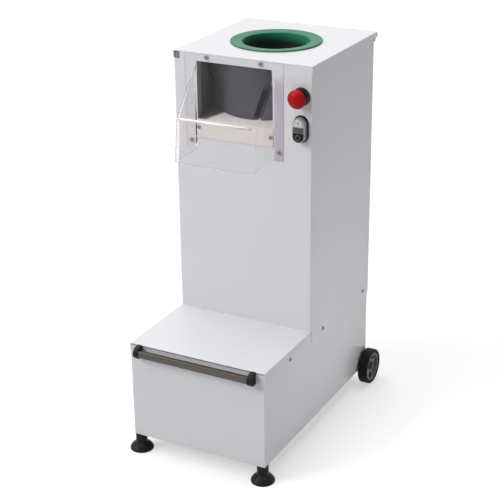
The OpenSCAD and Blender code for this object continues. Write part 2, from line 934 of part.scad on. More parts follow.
// Flight section: thicker at its root and with a raised rim, as R and Z
flight_in = (auger_r + seat_gap) / cos(180 / flight_sides);
flight_section = [
    [flight_in, 0],
    [flight_r, 0],
    [flight_r, flight_t + flight_rim],
    [flight_r - flight_t, flight_t],
    [flight_in + flight_root, flight_t],
    [flight_in, flight_t + flight_root]
];
flight_turns = (flight_top - flight_bottom - flight_t - flight_root) / flight_pitch;
flight_steps = ceil(flight_turns * flight_sides);
flight_points = [
    for (i = [0 : flight_steps], p = flight_section)
        let (a = 360 * i / flight_sides)
        [p[0] * cos(a), axis_y + p[0] * sin(a), flight_bottom + p[1] + flight_pitch * i / flight_sides]
];
flight_n = len(flight_section);

// Helical flight wound round the auger's tube
module auger_flight() {
    sides = [
        for (i = [0 : flight_steps - 1], j = [0 : flight_n - 1])
            let (a = i * flight_n + j, b = i * flight_n + (j + 1) % flight_n)
            each [[a, b, b + flight_n], [a, b + flight_n, a + flight_n]]
    ];
    foot_cap = [for (j = [flight_n - 1 : -1 : 0]) j];
    head_cap = [for (j = [0 : flight_n - 1]) flight_steps * flight_n + j];
    color([0.4, 0.39, 0.43])
        polyhedron(points = flight_points, faces = concat([foot_cap], sides, [head_cap]));
}

// Output shaft from the gearbox to the auger's hub
module drive_shaft() {
    color("silver") translate([0, axis_y, 0]) difference() {
        translate([0, 0, shaft_bottom]) cylinder(r = shaft_r, h = shaft_top - shaft_bottom);
        span([-key_w / 2, shaft_r - key_h / 2, auger_bottom],
             [key_w / 2, shaft_r + cut, auger_bottom + key_l]);
    }
}

module drive_key() {
    color("gray") translate([0, axis_y, 0])
        span([-key_w / 2, shaft_r - key_h / 2, auger_bottom],
             [key_w / 2, shaft_r + key_h / 2, auger_bottom + key_l]);
}

// Lip seal in the cylinder's floor
module shaft_seal() {
    color("black") translate([0, axis_y, deck_z])
        ring(seal_r - seat_gap, shaft_r + running_gap, cylinder_floor);
}

// Upper and lower bearings of the drive shaft
module shaft_bearings() {
    for (z = [gearbox_low + bearing_h, deck_under - gearbox_flange_t - bearing_h]) {
        color("silver") translate([0, axis_y, z])
            ring(bearing_r - seat_gap, shaft_r + running_gap, bearing_h);
    }
}

// Worm gearbox: wheel chamber, worm housing and round flange under the deck
module gearbox_housing() {
    flange_low = deck_under - gearbox_flange_t;
    color("slategray") difference() {
        union() {
            translate([0, axis_y, gearbox_low]) cylinder(r = gearbox_r, h = gearbox_h);
            translate([0, axis_y, gearbox_top - cut])
                cylinder(r = neck_r, h = flange_low - gearbox_top + 2 * cut);
            translate([0, axis_y, flange_low]) cylinder(r = gearbox_flange_r, h = gearbox_flange_t);
            translate([worm_offset, axis_y + worm_house_l, worm_z]) rotate([90, 0, 0])
                cylinder(r = worm_house_r, h = 2 * worm_house_l);
            span([0, axis_y - worm_house_r, worm_z - worm_house_r],
                 [worm_offset, axis_y + worm_house_r, worm_z + worm_house_r]);
        }
        translate([0, axis_y, gearbox_low + sheet])
            cylinder(r = shaft_r + slide_gap, h = deck_z - gearbox_low);
        translate([0, axis_y, gearbox_low + bearing_h]) cylinder(r = bearing_r, h = bearing_h);
        translate([0, axis_y, flange_low - bearing_h])
            cylinder(r = bearing_r, h = gearbox_flange_t + bearing_h + cut);
        gearbox_bolt_places() translate([0, 0, flange_low - cut])
            cylinder(r = bolt_r + hole_gap, h = gearbox_flange_t + 2 * cut, $fn = 32);
    }
}

// Frame on the motor's axis: +Z points to the front of the cabinet
module on_motor(y) {
    translate([worm_offset, y, worm_z]) rotate([90, 0, 0]) children();
}

// Finned motor frame with its flange and end bell
module motor_frame() {
    core_r = motor_r - fin_h;
    color("slategray") difference() {
        union() {
            on_motor(motor_y) cylinder(r = motor_flange_r, h = motor_flange_t);
            on_motor(motor_y - motor_flange_t) cylinder(r = core_r, h = motor_l);
            on_motor(bell_y) cylinder(r = core_r - cowl_t - fin_t, h = bell_l);
            for (i = [0 : fin_count - 1]) {
                on_motor(motor_y - motor_flange_t - fin_t) rotate([0, 0, 360 * i / fin_count])
                    translate([core_r - fin_t, -fin_t / 2, 0])
                    cube([motor_r - core_r + fin_t, fin_t, motor_l - 2 * fin_t]);
            }
        }
        on_motor(bell_y + motor_l / 2) cylinder(r = rotor_r + running_gap, h = motor_l);
        translate([terminal_x - motor_r, terminal_y, worm_z - terminal_h / 2 - cut])
            cube([motor_r, terminal_w, terminal_h + 2 * cut]);
    }
}

terminal_x = worm_offset - motor_r + fin_h / 2;
terminal_y = motor_y - motor_flange_t - motor_l / 2 - terminal_w / 2;

// Fan cowl with a ring of air slots in its end
module motor_fan_cowl() {
    core_r = motor_r - fin_h;
    color("dimgray") on_motor(cowl_y + bell_l) difference() {
        cylinder(r = core_r - seat_gap, h = cowl_l);
        translate([0, 0, -cut])
            cylinder(r = core_r - cowl_t - fin_t + seat_gap, h = cowl_l + cut - fin_t);
        for (i = [-cowl_slots : cowl_slots]) {
            translate([-slot_w / 2 + 2 * i * slot_w, -fan_r * cos(90 * i / (cowl_slots + 1)), 0])
                cube([slot_w, 2 * fan_r * cos(90 * i / (cowl_slots + 1)), cowl_l + cut]);
        }
    }
}

// Radial fan on the rear end of the motor's shaft
module motor_fan() {
    fan_z = bell_l + cut;
    color("black") on_motor(cowl_y + bell_l) {
        translate([0, 0, fan_z]) cylinder(r = fan_hub_r, h = fan_l);
        translate([0, 0, fan_z]) cylinder(r = fan_r - fin_t, h = blade_t);
        for (i = [0 : blade_count - 1]) {
            rotate([0, 0, 360 * i / blade_count])
                translate([fan_hub_r - fin_t, -blade_t / 2, fan_z])
                cube([fan_r - fan_hub_r - fin_t, blade_t, fan_l]);
        }
        translate([0, 0, -motor_l / 4]) cylinder(r = rotor_r, h = fan_z + fan_l + motor_l / 4);
    }
}

// Terminal box on the left of the motor
module motor_terminal_box() {
    color("dimgray") translate([terminal_x - terminal_d, terminal_y, worm_z - terminal_h / 2])
        difference() {
            cube([terminal_d, terminal_w, terminal_h]);
            translate([box_wall, box_wall, box_wall])
                cube([terminal_d - 2 * box_wall, terminal_w - 2 * box_wall, terminal_h - 2 * box_wall]);
        }
}

// Open electrical box on the floor of the base
module control_box() {
    low = [box_x - box_w / 2, base_front + box_front, base_z + 2 * sheet];
    color("lightgray") difference() {
        translate(low) cube([box_w, box_d, box_h]);
        translate(low + [box_wall, box_wall, box_wall])
            cube([box_w - 2 * box_wall, box_d - 2 * box_wall, box_h]);
    }
}

module control_box_cover() {
    low = [box_x - box_w / 2, base_front + box_front, base_z + 2 * sheet + box_h];
    color("gray") difference() {
        translate(low) cube([box_w, box_d, box_cover_t]);
        translate(low + [box_wall, box_wall, -cut])
            cube([box_w - 2 * box_wall, box_d - 2 * box_wall, box_cover_t - box_wall + cut]);
    }
}

// Cable gland in the lower rear panel, with its bore open for a cable
module cable_gland() {
    inside = sheet + gland_inside_l;
    color("black") translate([gland_x, rear_edge - sheet, base_z + gland_h]) rotate([-90, 0, 0])
        difference() {
            union() {
                translate([0, 0, -inside]) cylinder(r = gland_r, h = inside);
                translate([0, 0, -sheet - gland_inside_l / 2])
                    cylinder(r = gland_hex_r, h = gland_inside_l / 2, $fn = 6);
                cylinder(r = gland_hex_r, h = gland_hex_l, $fn = 6);
                translate([0, 0, gland_hex_l])
                    cylinder(r1 = gland_hex_r * dome_share, r2 = gland_r, h = gland_dome_l);
            }
            translate([0, 0, -inside - cut])
                cylinder(r = gland_bore_r, h = inside + gland_hex_l + gland_dome_l + 2 * cut);
        }
}

// Plan of the tray: through the window between the jambs, then out to the guide plates
outlet_r = cylinder_r + tray_gap;
outlet_point = [outlet_r * sin(outlet_to), axis_y - outlet_r * cos(outlet_to)];

module tray_plan() {
    difference() {
        union() {
            translate([window_x - window_w / 2 + slide_gap, column_front - tray_t])
                square([window_w - 2 * slide_gap, jamb_d + tray_t + 2 * slide_gap]);
            polygon([
                [window_x - guide_start + guide_t, jamb_back + slide_gap],
                [window_x + guide_start - guide_t, jamb_back + slide_gap],
                [outlet_point[0] - guide_t - tray_gap, outlet_point[1]],
                [guide_t + tray_gap - outlet_point[0], outlet_point[1]]
            ]);
        }
        translate([0, axis_y]) circle(cylinder_r + tray_gap);
    }
}

// Sloping tray with a lip folded down over the sill
module discharge_tray() {
    color("linen") difference() {
        union() {
            intersection() {
                translate([0, column_front, sill_z]) rotate([tray_slope, 0, 0])
                    translate([-half_w, -column_d, 0]) cube([cabinet_w, 2 * column_d, tray_t]);
                translate([0, 0, sill_z - column_d]) linear_extrude(2 * column_d) tray_plan();
            }
            span([window_x - lip_w / 2, column_front - tray_t, sill_z - lip_h],
                 [window_x + lip_w / 2, column_front, sill_z + tray_t / 2]);
        }
        for (p = lip_screw_places) {
            on_front(p[0], p[1]) translate([0, 0, -cut])
                cylinder(r = screw_r + hole_gap, h = tray_t + 2 * cut);
        }
    }
}

// Guide plate from the outside of the right jamb to the edge of the outlet, folded from one strip
module guide_plate(start_x) {
    run = outlet_point - [start_x, jamb_back];
    along = run / norm(run);
    across = [along[1], -along[0]];
    end = outlet_point - along * (guide_t + tray_gap);
    linear_extrude(window_h) polygon([
        [start_x, jamb_back - guide_tab],
        [start_x, jamb_back],
        end,
        end + guide_t * across,
        [start_x + guide_t, jamb_back - guide_t * (1 - along[1]) / along[0]],
        [start_x + guide_t, jamb_back - guide_tab]
    ]);
}

// Dark guide plates on both sides of the tray; the left one is notched round the flared mouth
module guide_plates() {
    color([0.27, 0.26, 0.29]) translate([0, 0, sill_z]) {
        guide_plate(guide_start + window_x);
        difference() {
            mirror([1, 0, 0]) guide_plate(guide_start - window_x);
            translate([0, axis_y, cylinder_top - flare_h - sill_z])
                cylinder(r = cylinder_r + flare_out + tray_gap, h = window_h);
        }
    }
}

// Section across the hood from left to right: X, and depth behind the panels' outer faces
function hood_section(wall) =
    let (r = hood_corner - wall, last = 2 * hood_flats + 1)
    [for (k = [0 : last])
        let (a = 90 * min(k, last - k) / hood_flats, s = k > hood_flats ? 1 : -1)
        [window_x + s * (hood_w / 2 - hood_corner + r * cos(a)), hood_corner - r * sin(a)]];

// Filled hood, drawn in by a wall: its section at the column, at the bend and at its lower edge
module hood_body(wall, over) {
    section = hood_section(wall);
    n = len(section);
    back_y = column_front + over;
    low_z = hood_bottom - over;
    at_top = [for (p = section)
        [p[0], back_y, hood_top + over * hood_rise / hood_d - p[1] / cos(slope_angle)]];
    at_bend = [for (p = section)
        [p[0], column_front - hood_d + p[1] * hood_mitre[0], hood_bend_z + p[1] * hood_mitre[1]]];
    at_low = [for (p = section)
        [p[0], column_front - hood_d + (hood_bend_z - low_z) * -hood_lean / hood_fall
            + p[1] / sin(front_angle), low_z]];
    corners = [for (p = [section[0], section[n - 1]]) [p[0], back_y, low_z]];
    strips = [for (i = [0 : 2 * n - 2]) if (i != n - 1) for (half = [0, 1])
        half == 0 ? [i, i + 1, i + n + 1] : [i, i + n + 1, i + n]];
    polyhedron(
        points = concat(at_top, at_bend, at_low, corners),
        faces = concat(strips, [
            [0, n, 2 * n, 3 * n],
            [n - 1, 3 * n + 1, 3 * n - 1, 2 * n - 1],
            concat([for (i = [0 : n - 1]) n - 1 - i], [3 * n, 3 * n + 1]),
            concat([for (i = [0 : n - 1]) 2 * n + i], [3 * n + 1, 3 * n])
        ])
    );
}

// Clear hood, open below, screwed to the column by a flange on three sides
module outlet_hood() {
    color([0.9, 0.95, 1, 0.35]) difference() {
        union() {
            hood_body(0, 0);
            span([window_x - hood_out_w, column_front - hood_t, hood_bottom],
                 [window_x + hood_out_w, column_front, panel_top - slide_gap]);
        }
        hood_body(hood_t, cut);
        for (p = hood_screw_places) {
            on_front(p[0], p[1]) translate([0, 0, -cut])
                cylinder(r = screw_r + hole_gap, h = hood_t + 2 * cut);
        }
    }
}

// Emergency stop: collar, neck and nut
module estop_body() {
    color([0.08, 0.08, 0.08]) on_front(control_x, estop_z) difference() {
        union() {
            cylinder(r1 = estop_collar_r, r2 = estop_collar_r - rim_t / 2, h = estop_collar_h);
            translate([0, 0, -sheet - nut_h]) cylinder(r = neck_out, h = sheet + nut_h + cut);
            translate([0, 0, -sheet - nut_h]) cylinder(r = nut_r, h = nut_h, $fn = 6);
        }
        translate([0, 0, -sheet - nut_h - cut])
            cylinder(r = estop_stem_r + running_gap, h = sheet + nut_h + estop_collar_h + 2 * cut);
    }
}

estop_stem_top = estop_collar_h + estop_travel + estop_head_gap;

module estop_plunger() {
    color([0.12, 0.12, 0.12]) on_front(control_x, estop_z) {
        translate([0, 0, -sheet]) cylinder(r = estop_stem_r, h = sheet + estop_stem_top);
        translate([0, 0, estop_stem_top]) cylinder(r = estop_nose_r, h = estop_nose_l);
    }
}

// Mushroom head: domed face above a rounded skirt
module estop_head() {
    low = estop_stem_top;
    high = low + estop_head_h;
    color("firebrick") on_front(control_x, estop_z) rotate_extrude() difference() {
        union() {
            intersection() {
                translate([0, high - estop_dome_r]) circle(estop_dome_r);
                translate([0, low + estop_skirt]) square([estop_r, estop_head_h - estop_skirt]);
            }
            intersection() {
                translate([estop_r - estop_skirt, low + estop_skirt]) circle(estop_skirt);
                translate([0, low]) square([estop_r, estop_skirt]);
            }
            translate([0, low]) square([estop_r - estop_skirt, estop_skirt]);
        }
        translate([0, low - cut])
            square([estop_nose_r + running_gap, estop_nose_l + running_gap + cut]);
    }
}

// Contact block clipped behind a control
module contact_block(x, z) {
    color("gainsboro") on_front(x, z) difference() {
        translate([-block_w / 2, -block_h / 2, -sheet - nut_h - block_d])
            cube([block_w, block_h, block_d]);
        translate([0, 0, -sheet - nut_h - stem_back - cut])
            cylinder(r = neck_out, h = stem_back + 2 * cut);
    }
}

module estop_contact_block() {
    contact_block(control_x, estop_z);
}

// Black rim of the double push button, with its neck and nut
module switch_rim() {
    color([0.08, 0.08, 0.08]) on_front(control_x, switch_z) {
        linear_extrude(rim_t) stadium(switch_w + 2 * rim_over, switch_h + 2 * rim_over);
        translate([0, 0, -sheet - nut_h]) cylinder(r = neck_out, h = sheet + nut_h);
        translate([0, 0, -sheet - nut_h]) cylinder(r = nut_r, h = nut_h, $fn = 6);
    }
}

// Silver bezel with pockets for the two buttons and the lens
module switch_bezel() {
    color("silver") on_front(control_x, switch_z) difference() {
        translate([0, 0, rim_t]) linear_extrude(bezel_h) stadium(switch_w, switch_h);
        translate([0, 0, rim_t + bezel_floor]) linear_extrude(bezel_h) {
            band(start_z, start_h, 0);
            band(lens_z, lens_h, 0);
            band(stop_z, stop_h, 0);
        }
    }
}

// Band of the bezel's inner outline, drawn in by a gap
module band(z, h, gap) {
    intersection() {
        stadium(pocket_w - 2 * gap, pocket_l - 2 * gap);
        translate([0, z]) square([switch_w, h - 2 * gap], center = true);
    }
}

// Push button that fills its pocket and stands proud of the bezel
module button(z, h, rise) {
    back = rim_t + bezel_floor + button_travel + slide_gap;
    on_front(control_x, switch_z) translate([0, 0, back])
        linear_extrude(rim_t + bezel_h + rise - back) band(z, h, slide_gap);
}

module start_button() {
    color("white") button(start_z, start_h, button_rise);
}

module stop_button() {
    color([0.1, 0.1, 0.1]) button(stop_z, stop_h, stop_rise);
}

module pilot_lens() {
    color("darkolivegreen") on_front(control_x, switch_z)
        translate([0, 0, rim_t + bezel_floor])
        linear_extrude(bezel_h - bezel_floor + button_rise / 2) band(lens_z, lens_h, seat_gap);
}

module switch_contact_block() {
    contact_block(control_x, switch_z);
}

// Flat steel bar with eased edges, seated in sockets of the mounts
module handle_bar() {
    length = bar_l + 2 * bar_socket;
    color("silver") translate([-length / 2, bar_y, handle_z]) rotate([90, 0, 90])
        linear_extrude(length) round_rect(bar_d, bar_h, bar_corner);
}

// Moulded mount with a round nose; the socket takes the end of the bar
module handle_mount() {
    color([0.07, 0.07, 0.07]) difference() {
        translate([mount_x, 0, handle_z]) rotate([90, 0, 90]) linear_extrude(mount_t) union() {
            intersection() {
                translate([nose_y, 0]) circle(mount_round);
                translate([base_front - handle_reach, -mount_round]) square([handle_reach, mount_h]);
            }
            translate([nose_y, -mount_round]) square([base_front - nose_y, mount_h]);
        }
        translate([mount_x - cut, bar_y, handle_z]) rotate([90, 0, 90])
            linear_extrude(bar_socket + cut)
            round_rect(bar_d + 2 * seat_gap, bar_h + 2 * seat_gap, bar_corner);
        translate([handle_bolt_x, base_front + cut, handle_z]) rotate([90, 0, 0])
            cylinder(r = bolt_r + seat_gap, h = handle_bolt_depth + cut);
    }
}

module handle_mounts() {
    both_sides() handle_mount();
}

// Levelling foot: domed pad, thick stem and stud
module foot(side) {
    dome_r = (pow(foot_r, 2) + pow(bell_h, 2)) / (2 * bell_h);
    color([0.06, 0.06, 0.06]) translate([side * foot_x, foot_y, 0]) {
        rotate_extrude() {
            square([foot_r, pad_h]);
            intersection() {
                translate([0, pad_h + bell_h - dome_r]) circle(dome_r);
                translate([0, pad_h]) square([foot_r, bell_h]);
            }
        }
        cylinder(r = stem_r, h = foot_h - slide_gap);
        cylinder(r = stud_r, h = foot_h + stud_l);
    }
}

module left_foot() {
    foot(-1);
}

module right_foot() {
    foot(1);
}

// Threaded bushes on the base's floor that take the foot studs
module foot_bushes() {
    both_sides() color("gray") translate([foot_x, foot_y, base_z + 2 * sheet])
        ring(bush_r, stud_r + running_gap, bush_h);
}

module wheel_axle() {
    color("gray") translate([-axle_end, axle_y, axle_z]) rotate([0, 90, 0])
        cylinder(r = axle_r, h = 2 * axle_end);
}

// Bracket inside a side panel, with a round end below the cabinet's edge
module axle_bracket() {
    color([0.1, 0.1, 0.1]) difference() {
        translate([inner_w - bracket_t, 0, 0]) rotate([90, 0, 90]) linear_extrude(bracket_t) union() {
            translate([axle_y, axle_z]) circle(bracket_r);
            translate([axle_y - bracket_back, axle_z])
                square([bracket_back + bracket_r, bracket_h - bracket_r]);
            translate([axle_y - bracket_r, axle_z - bracket_r / 2]) square([bracket_r, bracket_r]);
        }
        translate([0, axle_y, axle_z]) rotate([0, 90, 0])
            cylinder(r = axle_r + seat_gap, h = half_w + cut);
        for (z = bracket_bolt_heights) {
            translate([0, bracket_bolt_y, z]) rotate([0, 90, 0])
                cylinder(r = bolt_r + hole_gap, h = half_w + cut, $fn = 32);
        }
    }
}

module axle_brackets() {
    both_sides() axle_bracket();
}

// Push-on caps that keep the wheels on the axle
module axle_caps() {
    both_sides() color([0.2, 0.2, 0.2]) translate([axle_end - cap_t + slide_gap, axle_y, axle_z])
        rotate([0, 90, 0]) difference() {
            cylinder(r = cap_r, h = cap_t);
            translate([0, 0, -cut]) cylinder(r = axle_r + seat_gap, h = cap_t - slide_gap + cut);
        }
}

// Frame on a wheel's axis: +Z points outwards from the wheel's inner face
module on_wheel(side) {
    translate([side * wheel_in, axle_y, axle_z]) rotate([0, 90 * side, 0]) children();
}

// Moulded wheel centre: rim, recessed web with round holes, and a long boss
module wheel_hub(side) {
    hole_ring_r = boss_r + (rim_r - rim_wall - boss_r) * spoke_hole_share;
    color("gray") on_wheel(side) difference() {
        union() {
            translate([0, 0, tyre_round / 2])
                ring(rim_r - seat_gap, rim_r - rim_wall, wheel_w - tyre_round);
            translate([0, 0, wheel_w / 2 - web_t / 2]) cylinder(r = rim_r - rim_wall + cut, h = web_t);
            translate([0, 0, -boss_in]) cylinder(r = boss_r, h = wheel_w + boss_in - boss_short);
        }
        translate([0, 0, -boss_in - cut])
            cylinder(r = axle_r + running_gap, h = wheel_w + 2 * boss_in + 2 * cut);
        for (i = [0 : spoke_count - 1]) {
            rotate([0, 0, 360 * i / spoke_count]) translate([hole_ring_r, 0, 0])
                cylinder(r = spoke_hole_r, h = wheel_w, $fn = 32);
        }
    }
}

// Solid tyre with rounded shoulders
module wheel_tyre(side) {
    color([0.06, 0.06, 0.06]) on_wheel(side) rotate_extrude($fn = 96)
        translate([rim_r + tyre_depth / 2, wheel_w / 2]) round_rect(tyre_depth, wheel_w, tyre_round);
}

module left_wheel_hub() {
    wheel_hub(-1);
}

module left_wheel_tyre() {
    wheel_tyre(-1);
}

module right_wheel_hub() {
    wheel_hub(1);
}

module right_wheel_tyre() {
    wheel_tyre(1);
}

// Screws of the hood and of the tray's lip
module outlet_screws() {
    color("gray") {
        for (p = hood_screw_places) {
            on_front(p[0], p[1]) translate([0, 0, hood_t]) screw(hood_t + sheet + screw_l / 2);
        }
        for (p = lip_screw_places) {
            on_front(p[0], p[1]) translate([0, 0, tray_t]) screw(tray_t + sheet + screw_l / 2);
        }
    }
}

// Screws of the side panels and of the upper rear panel
module panel_screws() {
    color("silver") both_sides() {
        translate([half_w + sheet, side_screw_places[0], side_screw_z]) rotate([0, 90, 0])
            screw(screw_l);
        for (i = [1, 2]) {
            translate([half_w, side_screw_places[i], side_screw_z]) rotate([0, 90, 0]) screw(screw_l);
        }
        for (z = rear_screw_heights) {
            translate([half_w - rear_screw_inset, column_back, z]) rotate([-90, 0, 0])
                screw(rear_step + screw_l);
        }
    }
}

// Bolts of the cylinder's flange and of the gearbox's flange
module drive_bolts() {
    flange_low = deck_under - gearbox_flange_t;
    color("gray") {
        cylinder_bolt_places() translate([0, 0, floor_top]) bolt(cylinder_floor + deck_t);
        gearbox_bolt_places() translate([0, 0, flange_low]) mirror([0, 0, 1])
            bolt(gearbox_flange_t + deck_t);
    }
}

// Bolts of the axle brackets and of the handle mounts
module chassis_bolts() {
    color("gray") both_sides() {
        for (z = bracket_bolt_heights) {
            translate([inner_w - bracket_t, bracket_bolt_y, z]) rotate([0, -90, 0])
                bolt(bracket_t + sheet);
        }
        translate([handle_bolt_x, base_front + sheet, handle_z]) rotate([-90, 0, 0])
            bolt(sheet + handle_bolt_depth - cut);
    }
}

left_side_panel();
right_side_panel();
column_front_panel();
base_front_panel();
base_top_cover();
upper_rear_panel();
lower_rear_panel();
bottom_pan();
deck_plate();
top_lid();
hinge_fixed_leaf();
hinge_moving_leaf();
hinge_pin();
lid_catch();
feed_funnel();
rounding_cylinder();
cylinder_base();
auger_tube();
auger_flight();
drive_shaft();
drive_key();
shaft_seal();
shaft_bearings();
gearbox_housing();
motor_frame();
motor_fan_cowl();
motor_fan();
motor_terminal_box();
control_box();
control_box_cover();
cable_gland();
discharge_tray();
guide_plates();
outlet_hood();
estop_body();
estop_plunger();
estop_head();
estop_contact_block();
switch_rim();
switch_bezel();
start_button();
stop_button();
pilot_lens();
switch_contact_block();
handle_bar();
handle_mounts();
left_foot();
right_foot();
foot_bushes();
wheel_axle();
axle_brackets();
axle_caps();
left_wheel_hub();
left_wheel_tyre();
right_wheel_hub();
right_wheel_tyre();
outlet_screws();
panel_screws();
drive_bolts();
chassis_bolts();
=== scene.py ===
import json
import math
import bpy
from mathutils import Matrix, Vector


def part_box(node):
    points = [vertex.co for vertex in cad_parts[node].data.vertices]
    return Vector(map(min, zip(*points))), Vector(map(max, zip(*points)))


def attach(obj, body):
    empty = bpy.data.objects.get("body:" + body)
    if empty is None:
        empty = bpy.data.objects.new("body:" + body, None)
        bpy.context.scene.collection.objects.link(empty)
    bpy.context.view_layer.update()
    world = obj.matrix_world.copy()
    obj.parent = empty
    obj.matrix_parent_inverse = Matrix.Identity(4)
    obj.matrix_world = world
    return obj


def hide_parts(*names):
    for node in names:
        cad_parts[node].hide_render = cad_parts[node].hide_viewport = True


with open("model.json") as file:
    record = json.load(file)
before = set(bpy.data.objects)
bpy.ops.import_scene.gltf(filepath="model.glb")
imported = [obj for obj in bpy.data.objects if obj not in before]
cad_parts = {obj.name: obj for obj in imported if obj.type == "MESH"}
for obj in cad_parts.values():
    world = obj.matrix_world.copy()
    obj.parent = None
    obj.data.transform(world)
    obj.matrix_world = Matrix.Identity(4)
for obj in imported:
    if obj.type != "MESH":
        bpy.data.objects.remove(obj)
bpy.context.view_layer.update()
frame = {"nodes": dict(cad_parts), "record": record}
mm = 0.001
hair = 0.05 * mm  # room for points that lie on one plane
weld = 0.02 * mm  # points nearer than this become one
print("frame loaded:", len(frame["nodes"]), "nodes")


# selection and edit mode

def deselect():
    if bpy.context.mode != "OBJECT":
        bpy.ops.object.mode_set(mode="OBJECT")
    bpy.ops.object.select_all(action="DESELECT")


def focus(obj):
    deselect()
    obj.select_set(True)
    bpy.context.view_layer.objects.active = obj


def editAll(obj, kind="VERT"):
    focus(obj)
    bpy.ops.object.mode_set(mode="EDIT")
    bpy.ops.mesh.select_mode(type=kind)
    bpy.ops.mesh.select_all(action="SELECT")


def editNone(obj, kind):
    editAll(obj, kind)
    bpy.ops.mesh.select_all(action="DESELECT")


# edges whose two ends pass a test
def pickEdges(obj, test):
    editNone(obj, "EDGE")
    bpy.ops.object.mode_set(mode="OBJECT")
    points = obj.data.vertices
    for edge in obj.data.edges:
        edge.select = bool(test(points[edge.vertices[0]].co, points[edge.vertices[1]].co))
    bpy.ops.object.mode_set(mode="EDIT")


# sharp edges longer than a limit
def pickSharp(obj, least, angle=50):
    editNone(obj, "EDGE")
    bpy.ops.mesh.edges_select_sharp(sharpness=math.radians(angle))
    bpy.ops.object.mode_set(mode="OBJECT")
    points = obj.data.vertices
    for edge in obj.data.edges:
        span = points[edge.vertices[0]].co - points[edge.vertices[1]].co
        edge.select = bool(edge.select and span.length > least * mm)
    bpy.ops.object.mode_set(mode="EDIT")


def pickPoints(obj, test):
    editNone(obj, "VERT")
    bpy.ops.object.mode_set(mode="OBJECT")
    for point in obj.data.vertices:
        point.select = bool(test(point.co))
    bpy.ops.object.mode_set(mode="EDIT")


# points that pass a test, moved by a shift in mm
def shiftPoints(obj, test, shift):
    pickPoints(obj, test)
    bpy.ops.transform.translate(value=[v * mm for v in shift])
    bpy.ops.object.mode_set(mode="OBJECT")


def applyModifier(obj, kind, **settings):
    focus(obj)
    modifier = obj.modifiers.new(kind.lower(), kind)
    for key, value in settings.items():
        setattr(modifier, key, value)
    bpy.ops.object.modifier_apply(modifier=modifier.name)


def smooth(obj, angle=40):
    focus(obj)
    bpy.ops.object.shade_smooth_by_angle(angle=math.radians(angle))
    applyModifier(obj, "WEIGHTED_NORMAL", keep_sharp=True)  # large flat faces stay flat


def tidyMesh(obj, flat=None, fill=None):
    editAll(obj)
    bpy.ops.mesh.remove_doubles(threshold=weld)
    if flat:
        bpy.ops.mesh.dissolve_limited(angle_limit=math.radians(flat))
    bpy.ops.mesh.select_all(action="SELECT")
    if fill:
        bpy.ops.mesh.fill_holes(sides=fill)
        bpy.ops.mesh.select_all(action="SELECT")
    bpy.ops.mesh.normals_make_consistent(inside=False)
    bpy.ops.object.mode_set(mode="OBJECT")


def settle(obj):
    focus(obj)
    bpy.ops.object.transform_apply(location=True, rotation=True, scale=True)
    return obj


def place(obj, spot, turn=(0, 0, 0)):
    obj.location = [v * mm for v in spot]
    obj.rotation_euler = [math.radians(v) for v in turn]
    return settle(obj)


def twin(obj):
    copy = obj.copy()
    copy.data = obj.data.copy()
    bpy.context.scene.collection.objects.link(copy)
    return copy


def seat(obj, name, body, finish, nodes=()):
    settle(obj)
    obj.name = name
    obj.data.name = name
    obj.data.materials.clear()
    obj.data.materials.append(finish)
    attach(obj, body)
    if nodes:
        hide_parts(*nodes)
    return obj


# a second finish on the faces whose centre and normal pass a test
def paintFaces(obj, finish, test):
    obj.data.materials.append(finish)
    last = len(obj.data.materials) - 1
    for face in obj.data.polygons:
        if test(face.center, face.normal):
            face.material_index = last


def facesUp(normal):
    return normal.z > 0.5


def bothOn(axis, value, room=hair):
    return lambda a, b: abs(a[axis] - value) < room and abs(b[axis] - value) < room


# a copy of a CAD solid with its chosen edges rounded over
def easedCopy(node, name, steps, flat):
    copy = bpy.data.objects.new(name, frame["nodes"][node].data.copy())
    bpy.context.scene.collection.objects.link(copy)
    tidyMesh(copy, flat=flat)
    focus(copy)
    bpy.ops.mesh.customdata_custom_splitnormals_clear()
    for step in steps:
        if "sharp" in step:
            pickSharp(copy, step["sharp"])
        else:
            pickEdges(copy, step["edges"])
        bpy.ops.mesh.bevel(offset=step["radius"] * mm, segments=step.get("segments", 3),
                           affect="EDGES", clamp_overlap=True)
        bpy.ops.object.mode_set(mode="OBJECT")
    smooth(copy)
    return copy


# rings of a turned shape (radius, height), stacked by extrude and resize
def turned(name, rings, sides=96):
    deselect()
    bpy.ops.mesh.primitive_circle_add(vertices=sides, radius=rings[0][0] * mm, fill_type="NOTHING",
                                      location=(0, 0, rings[0][1] * mm))
    obj = bpy.context.active_object
    obj.name = name
    bpy.ops.object.mode_set(mode="EDIT")
    bpy.ops.mesh.select_mode(type="EDGE")
    bpy.ops.mesh.select_all(action="SELECT")
    for (r0, z0), (r1, z1) in zip(rings, rings[1:]):
        bpy.ops.mesh.extrude_region_move(TRANSFORM_OT_translate={"value": (0, 0, (z1 - z0) * mm)})
        if r1 == 0:
            bpy.ops.mesh.merge(type="CENTER")
            break
        bpy.ops.transform.resize(value=(r1 / r0, r1 / r0, 1), center_override=(0, 0, z1 * mm))
    bpy.ops.object.mode_set(mode="OBJECT")
    tidyMesh(obj, fill=sides)
    settle(obj)
    smooth(obj)
    return obj


# points of an arc in a turned section, from one angle to another
def bend(r, z, radius, angles, steps):
    start, end = angles
    points = []
    for i in range(steps + 1):
        a = math.radians(start + (end - start) * i / steps)
        points.append((r + radius * math.cos(a), z + radius * math.sin(a)))
    return points


